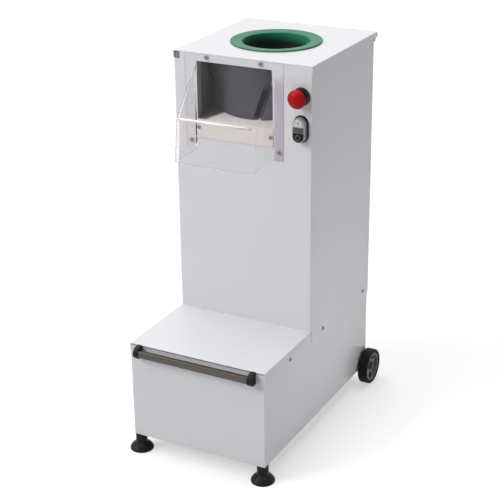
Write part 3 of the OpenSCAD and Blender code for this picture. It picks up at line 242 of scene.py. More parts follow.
# low and high corners of each separate shell in a CAD node
def shellBoxes(node):
    mesh = frame["nodes"][node].data
    keys = [tuple(round(c, 6) for c in point.co) for point in mesh.vertices]
    root = {key: key for key in keys}

    def top(key):
        while root[key] != key:
            root[key] = root[root[key]]
            key = root[key]
        return key

    for face in mesh.polygons:
        first = top(keys[face.vertices[0]])
        for i in face.vertices[1:]:
            root[top(keys[i])] = first
    shells = {}
    for key in root:
        shells.setdefault(top(key), []).append(key)
    return [(Vector([min(c) for c in zip(*shell)]), Vector([max(c) for c in zip(*shell)]))
            for shell in shells.values()]


# shader groups shared by several finishes
noiseMiddle = 0.5
mixFirst, mixSecond, mixResult = 6, 7, 2  # colour sockets of a Mix node


def newGroup(name, inputs, outputs):
    group = bpy.data.node_groups.new(name, "ShaderNodeTree")
    for label, kind, value in inputs:
        socket = group.interface.new_socket(name=label, in_out="INPUT", socket_type=kind)
        if value is not None:
            socket.default_value = value
    for label, kind in outputs:
        group.interface.new_socket(name=label, in_out="OUTPUT", socket_type=kind)
    source = group.nodes.new("NodeGroupInput")
    target = group.nodes.new("NodeGroupOutput")
    return group, source.outputs, target.inputs


def mathNode(tree, operation, a, b=None, clamp=False):
    node = tree.nodes.new("ShaderNodeMath")
    node.operation = operation
    node.use_clamp = clamp
    for i, value in enumerate((a, b)):
        if value is None:
            continue
        if isinstance(value, (int, float)):
            node.inputs[i].default_value = value
        else:
            tree.links.new(value, node.inputs[i])
    return node.outputs[0]


def noiseNode(tree, vector, scale, detail, roughness=0.55):
    node = tree.nodes.new("ShaderNodeTexNoise")
    node.inputs["Detail"].default_value = detail
    node.inputs["Roughness"].default_value = roughness
    tree.links.new(vector, node.inputs["Vector"])
    tree.links.new(scale, node.inputs["Scale"])
    return node.outputs["Fac"]


# fine surface grain with slow clouds of tone and gloss
def grainGroup():
    group, given, made = newGroup(
        "surfaceGrain",
        [("Vector", "NodeSocketVector", None), ("Grain Scale", "NodeSocketFloat", 900.0),
         ("Cloud Scale", "NodeSocketFloat", 6.0), ("Tone", "NodeSocketFloat", 0.04),
         ("Gloss", "NodeSocketFloat", 0.4), ("Gloss Spread", "NodeSocketFloat", 0.08)],
        [("Shade", "NodeSocketFloat"), ("Roughness", "NodeSocketFloat"), ("Height", "NodeSocketFloat")])
    grain = noiseNode(group, given["Vector"], given["Grain Scale"], detail=2.0)
    cloud = noiseNode(group, given["Vector"], given["Cloud Scale"], detail=4.0)
    offset = mathNode(group, "SUBTRACT", cloud, noiseMiddle)
    shade = mathNode(group, "ADD", mathNode(group, "MULTIPLY", offset, given["Tone"]), 1.0)
    slow = mathNode(group, "MULTIPLY", offset, given["Gloss Spread"])
    fine = mathNode(group, "MULTIPLY", mathNode(group, "SUBTRACT", grain, noiseMiddle), given["Gloss Spread"])
    rough = mathNode(group, "ADD", given["Gloss"], mathNode(group, "ADD", slow, fine), clamp=True)
    group.links.new(shade, made["Shade"])
    group.links.new(rough, made["Roughness"])
    group.links.new(grain, made["Height"])
    return group


# long scratches, drawn out along one axis by the mapping in front of the group
def brushGroup(glossSpread=0.25):
    group, given, made = newGroup(
        "brushedLines",
        [("Vector", "NodeSocketVector", None), ("Line Scale", "NodeSocketFloat", 400.0),
         ("Tone", "NodeSocketFloat", 0.25), ("Gloss", "NodeSocketFloat", 0.3)],
        [("Shade", "NodeSocketFloat"), ("Roughness", "NodeSocketFloat"), ("Height", "NodeSocketFloat")])
    lines = noiseNode(group, given["Vector"], given["Line Scale"], detail=5.0, roughness=0.7)
    offset = mathNode(group, "SUBTRACT", lines, noiseMiddle)
    shade = mathNode(group, "ADD", mathNode(group, "MULTIPLY", offset, given["Tone"]), 1.0)
    spread = mathNode(group, "MULTIPLY", offset, glossSpread)
    rough = mathNode(group, "ADD", given["Gloss"], spread, clamp=True)
    group.links.new(shade, made["Shade"])
    group.links.new(rough, made["Roughness"])
    group.links.new(lines, made["Height"])
    return group


surfaceGrain = grainGroup()
brushedLines = brushGroup()


def startMaterial(name, color, metallic):
    material = bpy.data.materials.new(name)
    material.use_nodes = True
    tree = material.node_tree
    shader = tree.nodes["Principled BSDF"]
    shader.inputs["Metallic"].default_value = metallic
    shader.inputs["Base Color"].default_value = (*color, 1)
    coord = tree.nodes.new("ShaderNodeTexCoord")
    return material, tree, shader, coord.outputs["Object"]


def addGroup(tree, groupTree, vector, values):
    group = tree.nodes.new("ShaderNodeGroup")
    group.node_tree = groupTree
    tree.links.new(vector, group.inputs["Vector"])
    for label, value in values.items():
        group.inputs[label].default_value = value
    return group.outputs


def colourBy(tree, shader, color, shade):
    mix = tree.nodes.new("ShaderNodeMix")
    mix.data_type = "RGBA"
    mix.blend_type = "MULTIPLY"
    mix.inputs["Factor"].default_value = 1.0
    mix.inputs[mixFirst].default_value = (*color, 1)
    tree.links.new(shade, mix.inputs[mixSecond])
    tree.links.new(mix.outputs[mixResult], shader.inputs["Base Color"])


def mixColour(tree, factor, first, second):
    mix = tree.nodes.new("ShaderNodeMix")
    mix.data_type = "RGBA"
    tree.links.new(factor, mix.inputs["Factor"])
    mix.inputs[mixFirst].default_value = (*first, 1)
    mix.inputs[mixSecond].default_value = (*second, 1)
    return mix.outputs[mixResult]


def bumpBy(tree, shader, height, strength, distance):
    bump = tree.nodes.new("ShaderNodeBump")
    bump.inputs["Strength"].default_value = strength
    bump.inputs["Distance"].default_value = distance
    tree.links.new(height, bump.inputs["Height"])
    tree.links.new(bump.outputs["Normal"], shader.inputs["Normal"])


# tone that rises from a least value to 1 along a direction, low and high in mm
def fadeTone(tree, vector, fade):
    along = tree.nodes.new("ShaderNodeVectorMath")
    along.operation = "DOT_PRODUCT"
    tree.links.new(vector, along.inputs[0])
    along.inputs[1].default_value = fade["along"]
    ramp = tree.nodes.new("ShaderNodeMapRange")
    ramp.interpolation_type = "SMOOTHSTEP"
    tree.links.new(along.outputs["Value"], ramp.inputs["Value"])
    for label, value in (("From Min", fade["low"] * mm), ("From Max", fade["high"] * mm),
                         ("To Min", fade.get("least", 0.0)), ("To Max", 1.0)):
        ramp.inputs[label].default_value = value
    return ramp.outputs["Result"]


# what a look takes where it gives no value of its own
plainLook = {"metallic": 0.0, "clouds": 6.0, "tone": 0.05, "spread": 0.1, "bump": 0.2, "depth": 0.0002,
             "specular": 0.5, "coat": 0.0, "coatRough": 0.1}
plainBrush = {"tone": 0.25, "bump": 0.15, "depth": 0.0001}
plainSheet = {"color": (0.97, 0.958, 0.962), "rough": 0.02, "spread": 0.03, "grain": 60.0, "clouds": 9.0,
              "ior": 1.26, "pass": 0.97, "transmission": 1.0, "specular": 0.5, "coat": 0.0}


def grainFinish(name, ownLook):
    look = {**plainLook, **ownLook}
    material, tree, shader, vector = startMaterial(name, look["color"], look["metallic"])
    made = addGroup(tree, surfaceGrain, vector, {
        "Grain Scale": look["grain"], "Cloud Scale": look["clouds"], "Tone": look["tone"],
        "Gloss": look["rough"], "Gloss Spread": look["spread"]})
    shade = made["Shade"]
    if "fade" in look:
        shade = mathNode(tree, "MULTIPLY", shade, fadeTone(tree, vector, look["fade"]))
    colourBy(tree, shader, look["color"], shade)
    tree.links.new(made["Roughness"], shader.inputs["Roughness"])
    bumpBy(tree, shader, made["Height"], look["bump"], look["depth"])
    shader.inputs["Specular IOR Level"].default_value = look["specular"]
    shader.inputs["Coat Weight"].default_value = look["coat"]
    shader.inputs["Coat Roughness"].default_value = look["coatRough"]
    return material


def brushFinish(name, ownLook):
    look = {**plainBrush, **ownLook}
    material, tree, shader, vector = startMaterial(name, look["color"], 1.0)
    mapping = tree.nodes.new("ShaderNodeMapping")
    mapping.inputs["Scale"].default_value = look["stretch"]
    tree.links.new(vector, mapping.inputs["Vector"])
    made = addGroup(tree, brushedLines, mapping.outputs["Vector"], {
        "Line Scale": look["lines"], "Tone": look["tone"], "Gloss": look["rough"]})
    colourBy(tree, shader, look["color"], made["Shade"])
    tree.links.new(made["Roughness"], shader.inputs["Roughness"])
    bumpBy(tree, shader, made["Height"], look["bump"], look["depth"])
    return material


# clear sheet; shadow rays and bounced light pass straight through it
def clearFinish(name, ownLook):
    look = {**plainSheet, **ownLook}
    material, tree, shader, vector = startMaterial(name, look["color"], 0.0)
    made = addGroup(tree, surfaceGrain, vector, {
        "Grain Scale": look["grain"], "Cloud Scale": look["clouds"],
        "Gloss": look["rough"], "Gloss Spread": look["spread"]})
    tree.links.new(made["Roughness"], shader.inputs["Roughness"])
    if "shade" in look:
        plain = fadeTone(tree, vector, look["fades"][0])
        for fade in look["fades"][1:]:
            plain = mathNode(tree, "MAXIMUM", plain, fadeTone(tree, vector, fade))
        tree.links.new(mixColour(tree, plain, look["shade"], look["color"]), shader.inputs["Base Color"])
    shader.inputs["IOR"].default_value = look["ior"]
    shader.inputs["Transmission Weight"].default_value = look["transmission"]
    shader.inputs["Specular IOR Level"].default_value = look["specular"]
    shader.inputs["Coat Weight"].default_value = look["coat"]
    path = tree.nodes.new("ShaderNodeLightPath")
    unseen = mathNode(tree, "MAXIMUM", path.outputs["Is Shadow Ray"], path.outputs["Is Diffuse Ray"])
    passed = mathNode(tree, "MULTIPLY", unseen, look["pass"])
    tree.links.new(mathNode(tree, "SUBTRACT", 1.0, passed), shader.inputs["Alpha"])
    return material


paint = {"color": (0.85, 0.845, 0.875), "rough": 0.34, "grain": 700, "clouds": 3.5, "tone": 0.02,
         "spread": 0.06, "bump": 0.1, "coat": 0.12, "coatRough": 0.2}
looks = {
    "paint": paint,
    # darker copy of the white paint, a painted shade for the base's front and step
    "paintLow": {**paint, "color": (0.785, 0.778, 0.808)},
    "steel": {"color": (0.5, 0.5, 0.51), "rough": 0.35, "grain": 300, "tone": 0.2, "metallic": 1.0,
              "bump": 0.1},
    "darkSteel": {"color": (0.05, 0.05, 0.053), "rough": 0.42, "grain": 500, "tone": 0.2},
    "screw": {"color": (0.24, 0.235, 0.24), "rough": 0.32, "grain": 900, "tone": 0.3, "metallic": 1.0,
              "bump": 0.1},
    "green": {"color": (0.02, 0.185, 0.1), "rough": 0.38, "grain": 500, "clouds": 12, "tone": 0.12,
              "bump": 0.1, "depth": 0.0003, "specular": 0.3},
    # green of the funnel's inside, darkening downwards as painted shade
    "greenInsideShade": {"color": (0.016, 0.17, 0.09), "rough": 0.5, "grain": 500, "clouds": 12, "tone": 0.12,
                    "bump": 0.1, "specular": 0.06,
                    "fade": {"along": (0.07, 0, 1), "low": 828, "high": 849, "least": 0.05}},
    "slate": {"color": (0.056, 0.054, 0.067), "rough": 0.46, "grain": 1100, "clouds": 9, "tone": 0.14,
              "spread": 0.12, "depth": 0.0003},
    # lighter copy of the slate, painted light for the guide plates
    "guideSlateLit": {"color": (0.178, 0.168, 0.188), "rough": 0.5, "grain": 1100, "tone": 0.14},
    "cream": {"color": (0.9, 0.845, 0.8), "rough": 0.42, "grain": 600, "clouds": 14, "bump": 0.1},
    # tray floor: a lighter cream with a painted shadow falling over its back-left part
    "trayFloorShadow": {"color": (0.93, 0.875, 0.83), "rough": 0.42, "grain": 600, "clouds": 14, "bump": 0.1,
                  "fade": {"along": (0.816, -0.579, 0), "low": -46, "high": -34, "least": 0.09}},
    "black": {"color": (0.009, 0.009, 0.0095), "rough": 0.4, "grain": 800, "clouds": 20, "tone": 0.3,
              "spread": 0.15, "bump": 0.25, "specular": 0.14},
    "rubber": {"color": (0.009, 0.009, 0.009), "rough": 0.62, "grain": 600, "clouds": 25, "tone": 0.4,
               "spread": 0.2, "bump": 0.35, "depth": 0.0004, "specular": 0.14},
    "rimGrey": {"color": (0.2, 0.2, 0.2), "rough": 0.42, "grain": 700, "clouds": 18, "tone": 0.2,
                "bump": 0.15},
    "webGrey": {"color": (0.055, 0.055, 0.056), "rough": 0.5, "grain": 700, "clouds": 18, "tone": 0.25},
    "red": {"color": (0.45, 0.005, 0.008), "rough": 0.36, "grain": 450, "clouds": 30, "tone": 0.1,
            "spread": 0.08, "bump": 0.1, "specular": 0.14},
    "silver": {"color": (0.42, 0.42, 0.44), "rough": 0.32, "grain": 900, "tone": 0.1, "metallic": 0.35,
               "bump": 0.08},
    "white": {"color": (0.72, 0.7, 0.66), "rough": 0.35, "grain": 600, "tone": 0.06, "bump": 0.08},
    "olive": {"color": (0.035, 0.034, 0.026), "rough": 0.15, "grain": 300, "tone": 0.3, "bump": 0.03,
              "coat": 0.5},
    "casting": {"color": (0.16, 0.17, 0.19), "rough": 0.5, "grain": 260, "tone": 0.2, "bump": 0.5,
                "depth": 0.0005},
    "enclosure": {"color": (0.36, 0.36, 0.37), "rough": 0.5, "grain": 500, "tone": 0.08},
    "jamb": {"color": (0.5, 0.468, 0.462), "rough": 0.45, "grain": 400, "tone": 0.2, "metallic": 0.3,
             "bump": 0.1},
    # dark grey for a painted shadow line
    "gapShadow": {"color": (0.28, 0.27, 0.27), "rough": 0.5, "grain": 500, "tone": 0.1, "bump": 0.1},
    "catchGrey": {"color": (0.3, 0.3, 0.31), "rough": 0.4, "grain": 500, "tone": 0.2, "bump": 0.1},
    "mark": {"color": (0.17, 0.17, 0.18), "rough": 0.5, "grain": 500, "tone": 0.1, "bump": 0.05},
}
brushed = {
    "barFace": {"color": (0.102, 0.089, 0.081), "rough": 0.36, "lines": 220, "stretch": (0.02, 1, 1),
                "tone": 0.5},
    # darker copy for the bar's upper faces, painted shade that damps their reflection
    "barTopShade": {"color": (0.048, 0.042, 0.039), "rough": 0.3, "lines": 220, "stretch": (0.02, 1, 1),
               "tone": 0.3},
}
sheets = {  # shade is the colour where every fade is at its low end
    # right leg of the flange in a darker pinkish grey: painted shade
    "clearSheet": {"shade": (0.75, 0.67, 0.745),
                   "fades": [{"along": (-1, 0, 0), "low": -77.5, "high": -75.8},
                             {"along": (0, 0, 1), "low": 795, "high": 828}]},
    # round bend: glossier and whiter, its white partly a painted highlight that dims to the right
    "bendHighlightSheet": {"color": (0.96, 0.95, 0.94), "rough": 0.16, "spread": 0.05, "ior": 1.5, "pass": 0.7,
                  "transmission": 0.55, "specular": 0.9, "coat": 0.55, "shade": (0.62, 0.6, 0.58),
                  "fades": [{"along": (-1, 0, 0), "low": -50, "high": 30}]},
    "cutSheet": {"color": (0.8, 0.72, 0.78), "rough": 0.4, "spread": 0.05, "ior": 1.38, "pass": 0.9,
                 "transmission": 0.35},
    # upper right corner: dark flats, a painted reflection of the dark inside, fading out above and below
    "cornerPaintedReflection": {"color": (0.97, 0.96, 0.965), "shade": (0.105, 0.1, 0.15),
                   "fades": [{"along": (0, 0, 1), "low": 790, "high": 812},
                             {"along": (0, 0, -1), "low": -752, "high": -744}]},
    # left corner: a greyer tint, painted shade that dims its bright edge
    "veilShade": {"color": (0.86, 0.825, 0.82), "rough": 0.16},
}
finishes = {}
for makeFinish, entries in ((grainFinish, looks), (brushFinish, brushed), (clearFinish, sheets)):
    finishes.update({name: makeFinish(name, look) for name, look in entries.items()})
print("finishes ready:", len(finishes))

slotFinish = {
    "white_paint": "paint", "plain_steel": "steel", "dark_steel": "darkSteel", "screw_steel": "screw",
    "green_plastic": "green", "slate_coating": "slate", "cream_plastic": "cream", "clear_sheet": "clearSheet",
    "gear_grey": "casting", "black_plastic": "black", "black_rubber": "rubber", "grey_plastic": "enclosure",
    "red_plastic": "red", "silver_plastic": "silver", "white_plastic": "white", "olive_lens": "olive",
    "bar_steel": "barFace",
}
nodeSlot = {part["node"]: part["material_slot"] for part in frame["record"]["subparts"]}
for nodeName, nodeObject in frame["nodes"].items():
    nodeObject.data.materials.clear()
    nodeObject.data.materials.append(finishes[slotFinish[nodeSlot[nodeName]]])
# guide plates in a lighter copy of the slate coating, painted light
frame["nodes"]["guide_plates"].data.materials[0] = finishes["guideSlateLit"]
print("CAD nodes dressed:", len(frame["nodes"]))


# a piece that stands for one CAD node and keeps its slot
def dress(obj, name, body, node, finishName=None):
    finish = finishes[finishName or slotFinish[nodeSlot[node]]]
    return seat(obj, name, body, finish, [node])


def easedPiece(node, name, body, steps, finishName=None, flat=0.4):
    return dress(easedCopy(node, name, steps, flat), name, body, node, finishName)


# camera, at the place solved from the photograph's edges
view = {"place": (1258.0, -2382.6, 1529.9), "aim": (-0.4339, 0.8142, -0.3856), "roll": -0.012,
        "lens": 95.39, "sensor": 36, "reach": 50}
aim = Vector(view["aim"]).normalized()
side = aim.cross(Vector((0, 0, 1))).normalized()
rise = side.cross(aim)
tiltCos, tiltSin = math.cos(view["roll"]), math.sin(view["roll"])
camX = side * tiltCos + rise * tiltSin
camY = rise * tiltCos - side * tiltSin
cameraData = bpy.data.cameras.new("camera")
cameraData.lens = view["lens"]
cameraData.sensor_width = view["sensor"]
cameraData.sensor_fit = "HORIZONTAL"
cameraData.clip_end = view["reach"]
camera = bpy.data.objects.new("camera", cameraData)
camera.matrix_world = Matrix((
    (camX.x, camY.x, -aim.x, view["place"][0] * mm),
    (camX.y, camY.y, -aim.y, view["place"][1] * mm),
    (camX.z, camY.z, -aim.z, view["place"][2] * mm),
    (0, 0, 0, 1)))
bpy.context.scene.collection.objects.link(camera)
bpy.context.scene.camera = camera


# painted sheet: round folds, eased corners of single sheets, eased cut edges
panel = {"fold": 1.4, "corner": 0.8, "steps": 4, "cut": 0.35, "cutSteps": 2, "least": 9,
         "low": ("baseFront", "stepCover")}  # low lists the pieces in the darker paint, a painted shade
panels = {  # node: piece, body, folds and sheet corners as pairs of sides of the node's box
    "left_side_panel": ("leftSide", "cabinet", [], []),
    "right_side_panel": ("rightSide", "cabinet", [], []),
    "column_front_panel": ("columnFront", "cabinet", [], ["-x-y", "+x-y"]),
    "base_front_panel": ("baseFront", "cabinet", ["-y-z"], ["-x-y", "+x-y"]),
    "base_top_cover": ("stepCover", "cabinet", ["-x+z", "+x+z"], ["-y+z"]),
    "upper_rear_panel": ("upperRear", "cabinet", ["-x+y", "+x+y", "+y-z"], []),
    "lower_rear_panel": ("lowerRear", "cabinet", [], []),
    "top_lid": ("lidPlate", "lid", ["-x+z", "+x+z", "+y+z"], ["-y+z"]),
}


def sideValue(low, high, word):
    axis = "xyz".index(word[1])
    return axis, (low if word[0] == "-" else high)[axis]


def onFold(node, folds):
    low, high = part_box(node)
    pairs = [(sideValue(low, high, fold[:2]), sideValue(low, high, fold[2:])) for fold in folds]

    def test(a, b):
        if (a - b).length < panel["least"] * mm:
            return False
        return any(bothOn(*first)(a, b) and bothOn(*second)(a, b) for first, second in pairs)
    return test


panelPieces = {}
for node, (piece, body, folds, corners) in panels.items():
    steps = []
    for words, radius in ((folds, panel["fold"]), (corners, panel["corner"])):
        if words:
            steps.append({"edges": onFold(node, words), "radius": radius, "segments": panel["steps"]})
    steps.append({"sharp": panel["least"], "radius": panel["cut"], "segments": panel["cutSteps"]})
    finishName = "paintLow" if piece in panel["low"] else None
    panelPieces[piece] = easedPiece(node, piece, body, steps, finishName)

# base front: its upper edge stands a little below the step cover, and the top of that edge is painted dark as
# the shadow in the gap
frontEdge = {"gap": 1.0, "moved": 0.6, "dark": 3}
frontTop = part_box("base_front_panel")[1].z
shiftPoints(panelPieces["baseFront"], lambda p: p.z > frontTop - frontEdge["moved"] * mm,
            (0, 0, -frontEdge["gap"]))
paintFaces(panelPieces["baseFront"], finishes["darkSteel"],
           lambda c, n: facesUp(n) and c.z > frontTop - frontEdge["dark"] * mm)

# step cover: its flanges go back to the sides' paint, out of the painted shade, and carry a painted shadow
# line at their rear ends
flange = {"end": -44, "line": 2.0, "out": 161, "top": 258, "upright": 0.6}
lineStart = (flange["end"] - flange["line"]) * mm
editAll(panelPieces["stepCover"])
bpy.ops.mesh.bisect(plane_co=(0, lineStart, 0), plane_no=(0, 1, 0))
bpy.ops.object.mode_set(mode="OBJECT")
paintFaces(panelPieces["stepCover"], finishes["paint"], lambda c, n: abs(n.x) > flange["upright"])
paintFaces(panelPieces["stepCover"], finishes["gapShadow"], lambda c, n: (
    c.y > lineStart and abs(c.x) > flange["out"] * mm and c.z < flange["top"] * mm))

# column front: the faces at the window's sides take a darker grey, slightly metallic finish
jambs = {"sides": ((-108, -105.5), (69.5, 72)), "depth": (-48.3, -32.5)}


def onJamb(c, n):
    deep = jambs["depth"][0] < c.y / mm < jambs["depth"][1]
    return deep and any(low < c.x / mm < high for low, high in jambs["sides"])


paintFaces(panelPieces["columnFront"], finishes["jamb"], onJamb)
print("panels folded:", len(panels))


# moulded funnel: dished rim with a rolled edge, round mouth, cone and spout
funnel = {"centre": (0, 109, 0), "rimR": 99.5, "mouthR": 71.5, "spoutR": 51.5, "wall": 2.5, "sides": 128,
          "rimTop": 851.3, "seat": 848.3, "coneLow": 806, "spoutLow": 771, "ease": 0.6,
          "roll": 1.5, "rollAngles": (90, -75), "lipRound": 4.5, "lipAngles": (158, 96),
          "lipGap": 0.2, "lipDrop": 1.6, "dark": 0.8}
funnelBends = {  # radius and height from the nearest named corner
    "coneIn": ((0, 1), (0.7, 4), (2.1, 7.2)), "coneOut": ((2.4, 4), (0, -1)),
    "dishIn": (8, -1.0), "dishOut": (-6, -0.15), "seatOut": -2, "seatIn": 1, "collar": (0.6, -2.6)}
lipR = funnel["mouthR"] + funnel["lipGap"] + funnel["lipRound"]
lipZ = funnel["rimTop"] - funnel["lipDrop"] - funnel["lipRound"]
rollR = funnel["rimR"] - funnel["roll"]
rollZ = funnel["rimTop"] - funnel["roll"]
spoutIn, spoutOut = funnel["spoutR"], funnel["spoutR"] + funnel["wall"]
spoutEnd = funnel["spoutLow"] + funnel["ease"]
collarR = funnel["mouthR"] + funnel["wall"]
funnelSection = (
    [(spoutIn, spoutEnd)] + [(spoutIn + r, funnel["coneLow"] + z) for r, z in funnelBends["coneIn"]]
    + bend(lipR, lipZ, funnel["lipRound"], funnel["lipAngles"], steps=6)
    + [(lipR + funnelBends["dishIn"][0], funnel["rimTop"] + funnelBends["dishIn"][1]),
       (rollR + funnelBends["dishOut"][0], funnel["rimTop"] + funnelBends["dishOut"][1])]
    + bend(rollR, rollZ, funnel["roll"], funnel["rollAngles"], steps=7)
    + [(rollR + funnelBends["seatOut"], funnel["seat"]),
       (collarR + funnel["wall"] + funnelBends["seatIn"], funnel["seat"]),
       (collarR + funnelBends["collar"][0], funnel["seat"] + funnelBends["collar"][1])]
    + [(spoutOut + r, funnel["coneLow"] + z) for r, z in funnelBends["coneOut"]]
    + [(spoutOut, spoutEnd), (spoutOut - funnel["ease"], funnel["spoutLow"]),
       (spoutIn + funnel["ease"], funnel["spoutLow"]), (spoutIn, spoutEnd)])
funnelPiece = dress(place(turned("feedFunnel", funnelSection, funnel["sides"]), funnel["centre"]),
                    "feedFunnel", "funnel", "feed_funnel")


# inner faces below the mouth; they take a green that darkens downwards, a painted shade
def insideFunnel(c, n):
    inward = c.x * n.x + (c.y - funnel["centre"][1] * mm) * n.y < 0
    return inward and c.z < (lipZ + funnel["dark"] * funnel["lipRound"]) * mm


paintFaces(funnelPiece, finishes["greenInsideShade"], insideFunnel)
print("funnel turned")


# clear hood: round bend between its two panels, eased rims, flange held just off the column
hood = {"centreX": -18, "bendY": -140, "bendZ": 730, "mitre": (0.9564, -0.4241), "flatHalf": 79,
        "corner": 14.5, "wall": 3, "outerBend": 3.4, "innerBend": 2.4, "bendSteps": 6, "rim": 0.5,
        "rimSteps": 2, "low": 638, "back": -50, "lift": 0.3, "mitreRoom": 0.1, "arcRoom": 0.3}


# distance of a point on the mitre from the axis of the hood's corner
def bendRadius(point):
    depth = (point.y / mm - hood["bendY"]) / hood["mitre"][0]
    off = point.z / mm - hood["bendZ"] - depth * hood["mitre"][1]
    room = hood["mitreRoom"]
    if abs(off) > room or depth < -room or depth > hood["corner"] + room:
        return None
    return math.hypot(max(abs(point.x / mm - hood["centreX"]) - hood["flatHalf"], 0), hood["corner"] - depth)


def onBend(radius):
    def test(a, b):
        ends = bendRadius(a), bendRadius(b)
        return None not in ends and all(abs(end - radius) < hood["arcRoom"] for end in ends)
    return test


hoodPiece = easedPiece("outlet_hood", "clearHood", "cabinet", [
    {"edges": onBend(hood["corner"]), "radius": hood["outerBend"], "segments": hood["bendSteps"]},
    {"edges": onBend(hood["corner"] - hood["wall"]), "radius": hood["innerBend"],
     "segments": hood["bendSteps"]},
    {"edges": bothOn(2, hood["low"] * mm), "radius": hood["rim"], "segments": hood["rimSteps"]},
])
shiftPoints(hoodPiece, lambda p: p.y > hood["back"] * mm - hair, (0, -hood["lift"], 0))

# where the hood's painted highlight, cut edges, painted dark band and painted edge shade lie; limits of a
# normal's x tell the flats of a corner apart
hoodTones = {"strip": 2.4, "stripFront": -2, "stripBack": 3, "stripSide": 0.6,
             "edgeRoom": 0.2, "edgeSide": 0.3,
             "dark": ((0.3, 0.85), (0.97, 0.995)), "darkRise": 0.05, "veilShade": (0.1, 0.995)}
mitreY, mitreZ = Vector(hood["mitre"]).normalized()


# outer face of the round bend, which carries the painted highlight
def onStrip(c, n):
    y, z = c.y / mm - hood["bendY"], c.z / mm - hood["bendZ"]
    depth, off = y * mitreY + z * mitreZ, z * mitreY - y * mitreZ
    return (abs(off) < hoodTones["strip"] and abs(n.x) < hoodTones["stripSide"]
            and hoodTones["stripFront"] < depth < hood["corner"] - hoodTones["stripBack"])


# cut ends of the flange
def onFlangeEdge(c, n):
    front = hood["back"] - hood["wall"] - hoodTones["edgeRoom"]
    return c.y / mm > front and abs(n.y) < hoodTones["edgeSide"]


# flats of the upper right corner, painted dark where the dark inside would show through the rounded corner: a
# painted reflection
def onCornerPaintedReflection(c, n):
    return (c.x / mm > hood["centreX"] + hood["flatHalf"] and n.z > hoodTones["darkRise"]
            and c.z / mm > hood["bendZ"] + hood["corner"]
            and any(low < n.x < high for low, high in hoodTones["dark"]))


# outer flats of the left corner, tinted greyer as painted shade, so the corner reads as a soft line beside
# the column
def onVeilShade(c, n):
    return (c.x / mm < hood["centreX"] - hood["flatHalf"] and n.y < 0
            and hoodTones["veilShade"][0] < -n.x < hoodTones["veilShade"][1])


for finishName, test in (("bendHighlightSheet", onStrip), ("cutSheet", onFlangeEdge),
                         ("cornerPaintedReflection", onCornerPaintedReflection), ("veilShade", onVeilShade)):
    paintFaces(hoodPiece, finishes[finishName], test)
print("hood bent")


# rounding cylinder: its rim reaches up behind the window's upper edge
drum = {"rim": 812, "raise": 14}
drumPiece = easedPiece("rounding_cylinder", "roundingDrum", "cabinet", [])
shiftPoints(drumPiece, lambda p: p.z > drum["rim"] * mm - hair, (0, 0, drum["raise"]))

# catch of the lid: grey body with a dark recess in its front
catch = {"ease": 0.4, "easeSteps": 2, "least": 9, "border": 2.6, "sink": 0.8, "facing": 0.9}
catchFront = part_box("lid_catch")[0].y
catchPiece = easedPiece("lid_catch", "lidCatch", "cabinet", [
    {"sharp": catch["least"], "radius": catch["ease"], "segments": catch["easeSteps"]}], "catchGrey")
pickPoints(catchPiece, lambda p: abs(p.y - catchFront) < hair)
bpy.ops.mesh.select_mode(type="FACE")
bpy.ops.mesh.inset(thickness=catch["border"] * mm, depth=-catch["sink"] * mm)
bpy.ops.object.mode_set(mode="OBJECT")
paintFaces(catchPiece, finishes["darkSteel"], lambda c, n: (
    n.y < -catch["facing"] and c.y > catchFront + 0.5 * catch["sink"] * mm))
print("drum and catch dressed")


# tray of the outlet, with a rounded front lip
tray = {"lipEase": 0.9, "cut": 0.3, "cutSteps": 2, "least": 9}
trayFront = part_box("discharge_tray")[0].y


def onLip(a, b):
    return bothOn(1, trayFront)(a, b) and (a - b).length > tray["least"] * mm


trayPiece = easedPiece("discharge_tray", "outletTray", "cabinet", [
    {"edges": onLip, "radius": tray["lipEase"]},
    {"sharp": tray["least"], "radius": tray["cut"], "segments": tray["cutSteps"]}])
# upward faces of the tray in the lighter cream with the painted shadow
paintFaces(trayPiece, finishes["trayFloorShadow"], lambda c, n: facesUp(n))
print("tray eased")


# emergency stop: domed head over a black collar
stopHead = {"place": (137, -50, 783), "turn": (90, 0, 0), "low": 18.2, "high": 35.2, "radius": 20, "skirt": 5,
            "dome": 24, "domeIn": 0.35, "domeEnd": 84, "pocket": 27.5, "nose": 5.3, "collarEase": 0.8}
domeStart = math.degrees(math.acos((stopHead["radius"] - stopHead["domeIn"]) / stopHead["dome"]))
headSection = (
    [(stopHead["nose"], stopHead["pocket"]), (stopHead["nose"], stopHead["low"])]
    + bend(stopHead["radius"] - stopHead["skirt"], stopHead["low"] + stopHead["skirt"], stopHead["skirt"],
           (-90, 0), steps=8)
    + bend(0, stopHead["high"] - stopHead["dome"], stopHead["dome"],
           (domeStart, stopHead["domeEnd"]), steps=12)
    + [(0, stopHead["high"])])
dress(place(turned("stopHead", headSection), stopHead["place"], stopHead["turn"]),
      "stopHead", "estop_cap", "estop_head")
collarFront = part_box("estop_body")[0].y
easedPiece("estop_body", "stopCollar", "cabinet", [
    {"edges": bothOn(1, collarFront), "radius": stopHead["collarEase"]}])
print("emergency stop built")


# double push button: eased rim, bezel, buttons and lens
pushButton = {  # node: piece, body, ease of the front edges, least distance of those from the core line
    "switch_rim": ("switchRim", "cabinet", 1.1, 0),
    "switch_bezel": ("switchBezel", "cabinet", 0.5, 12.8),
    "start_button": ("startButton", "start_key", 1.0, 0),
    "stop_button": ("stopButton", "stop_key", 1.3, 0),
    "pilot_lens": ("pilotLens", "cabinet", 0.5, 0),
}
switchCore = {"x": 137, "z": 715, "half": 12.25}


def coreDistance(point):
    beyond = max(abs(point.z / mm - switchCore["z"]) - switchCore["half"], 0)
    return math.hypot(point.x / mm - switchCore["x"], beyond)


def onFront(front, least):
    return lambda a, b: bothOn(1, front)(a, b) and min(coreDistance(a), coreDistance(b)) >= least


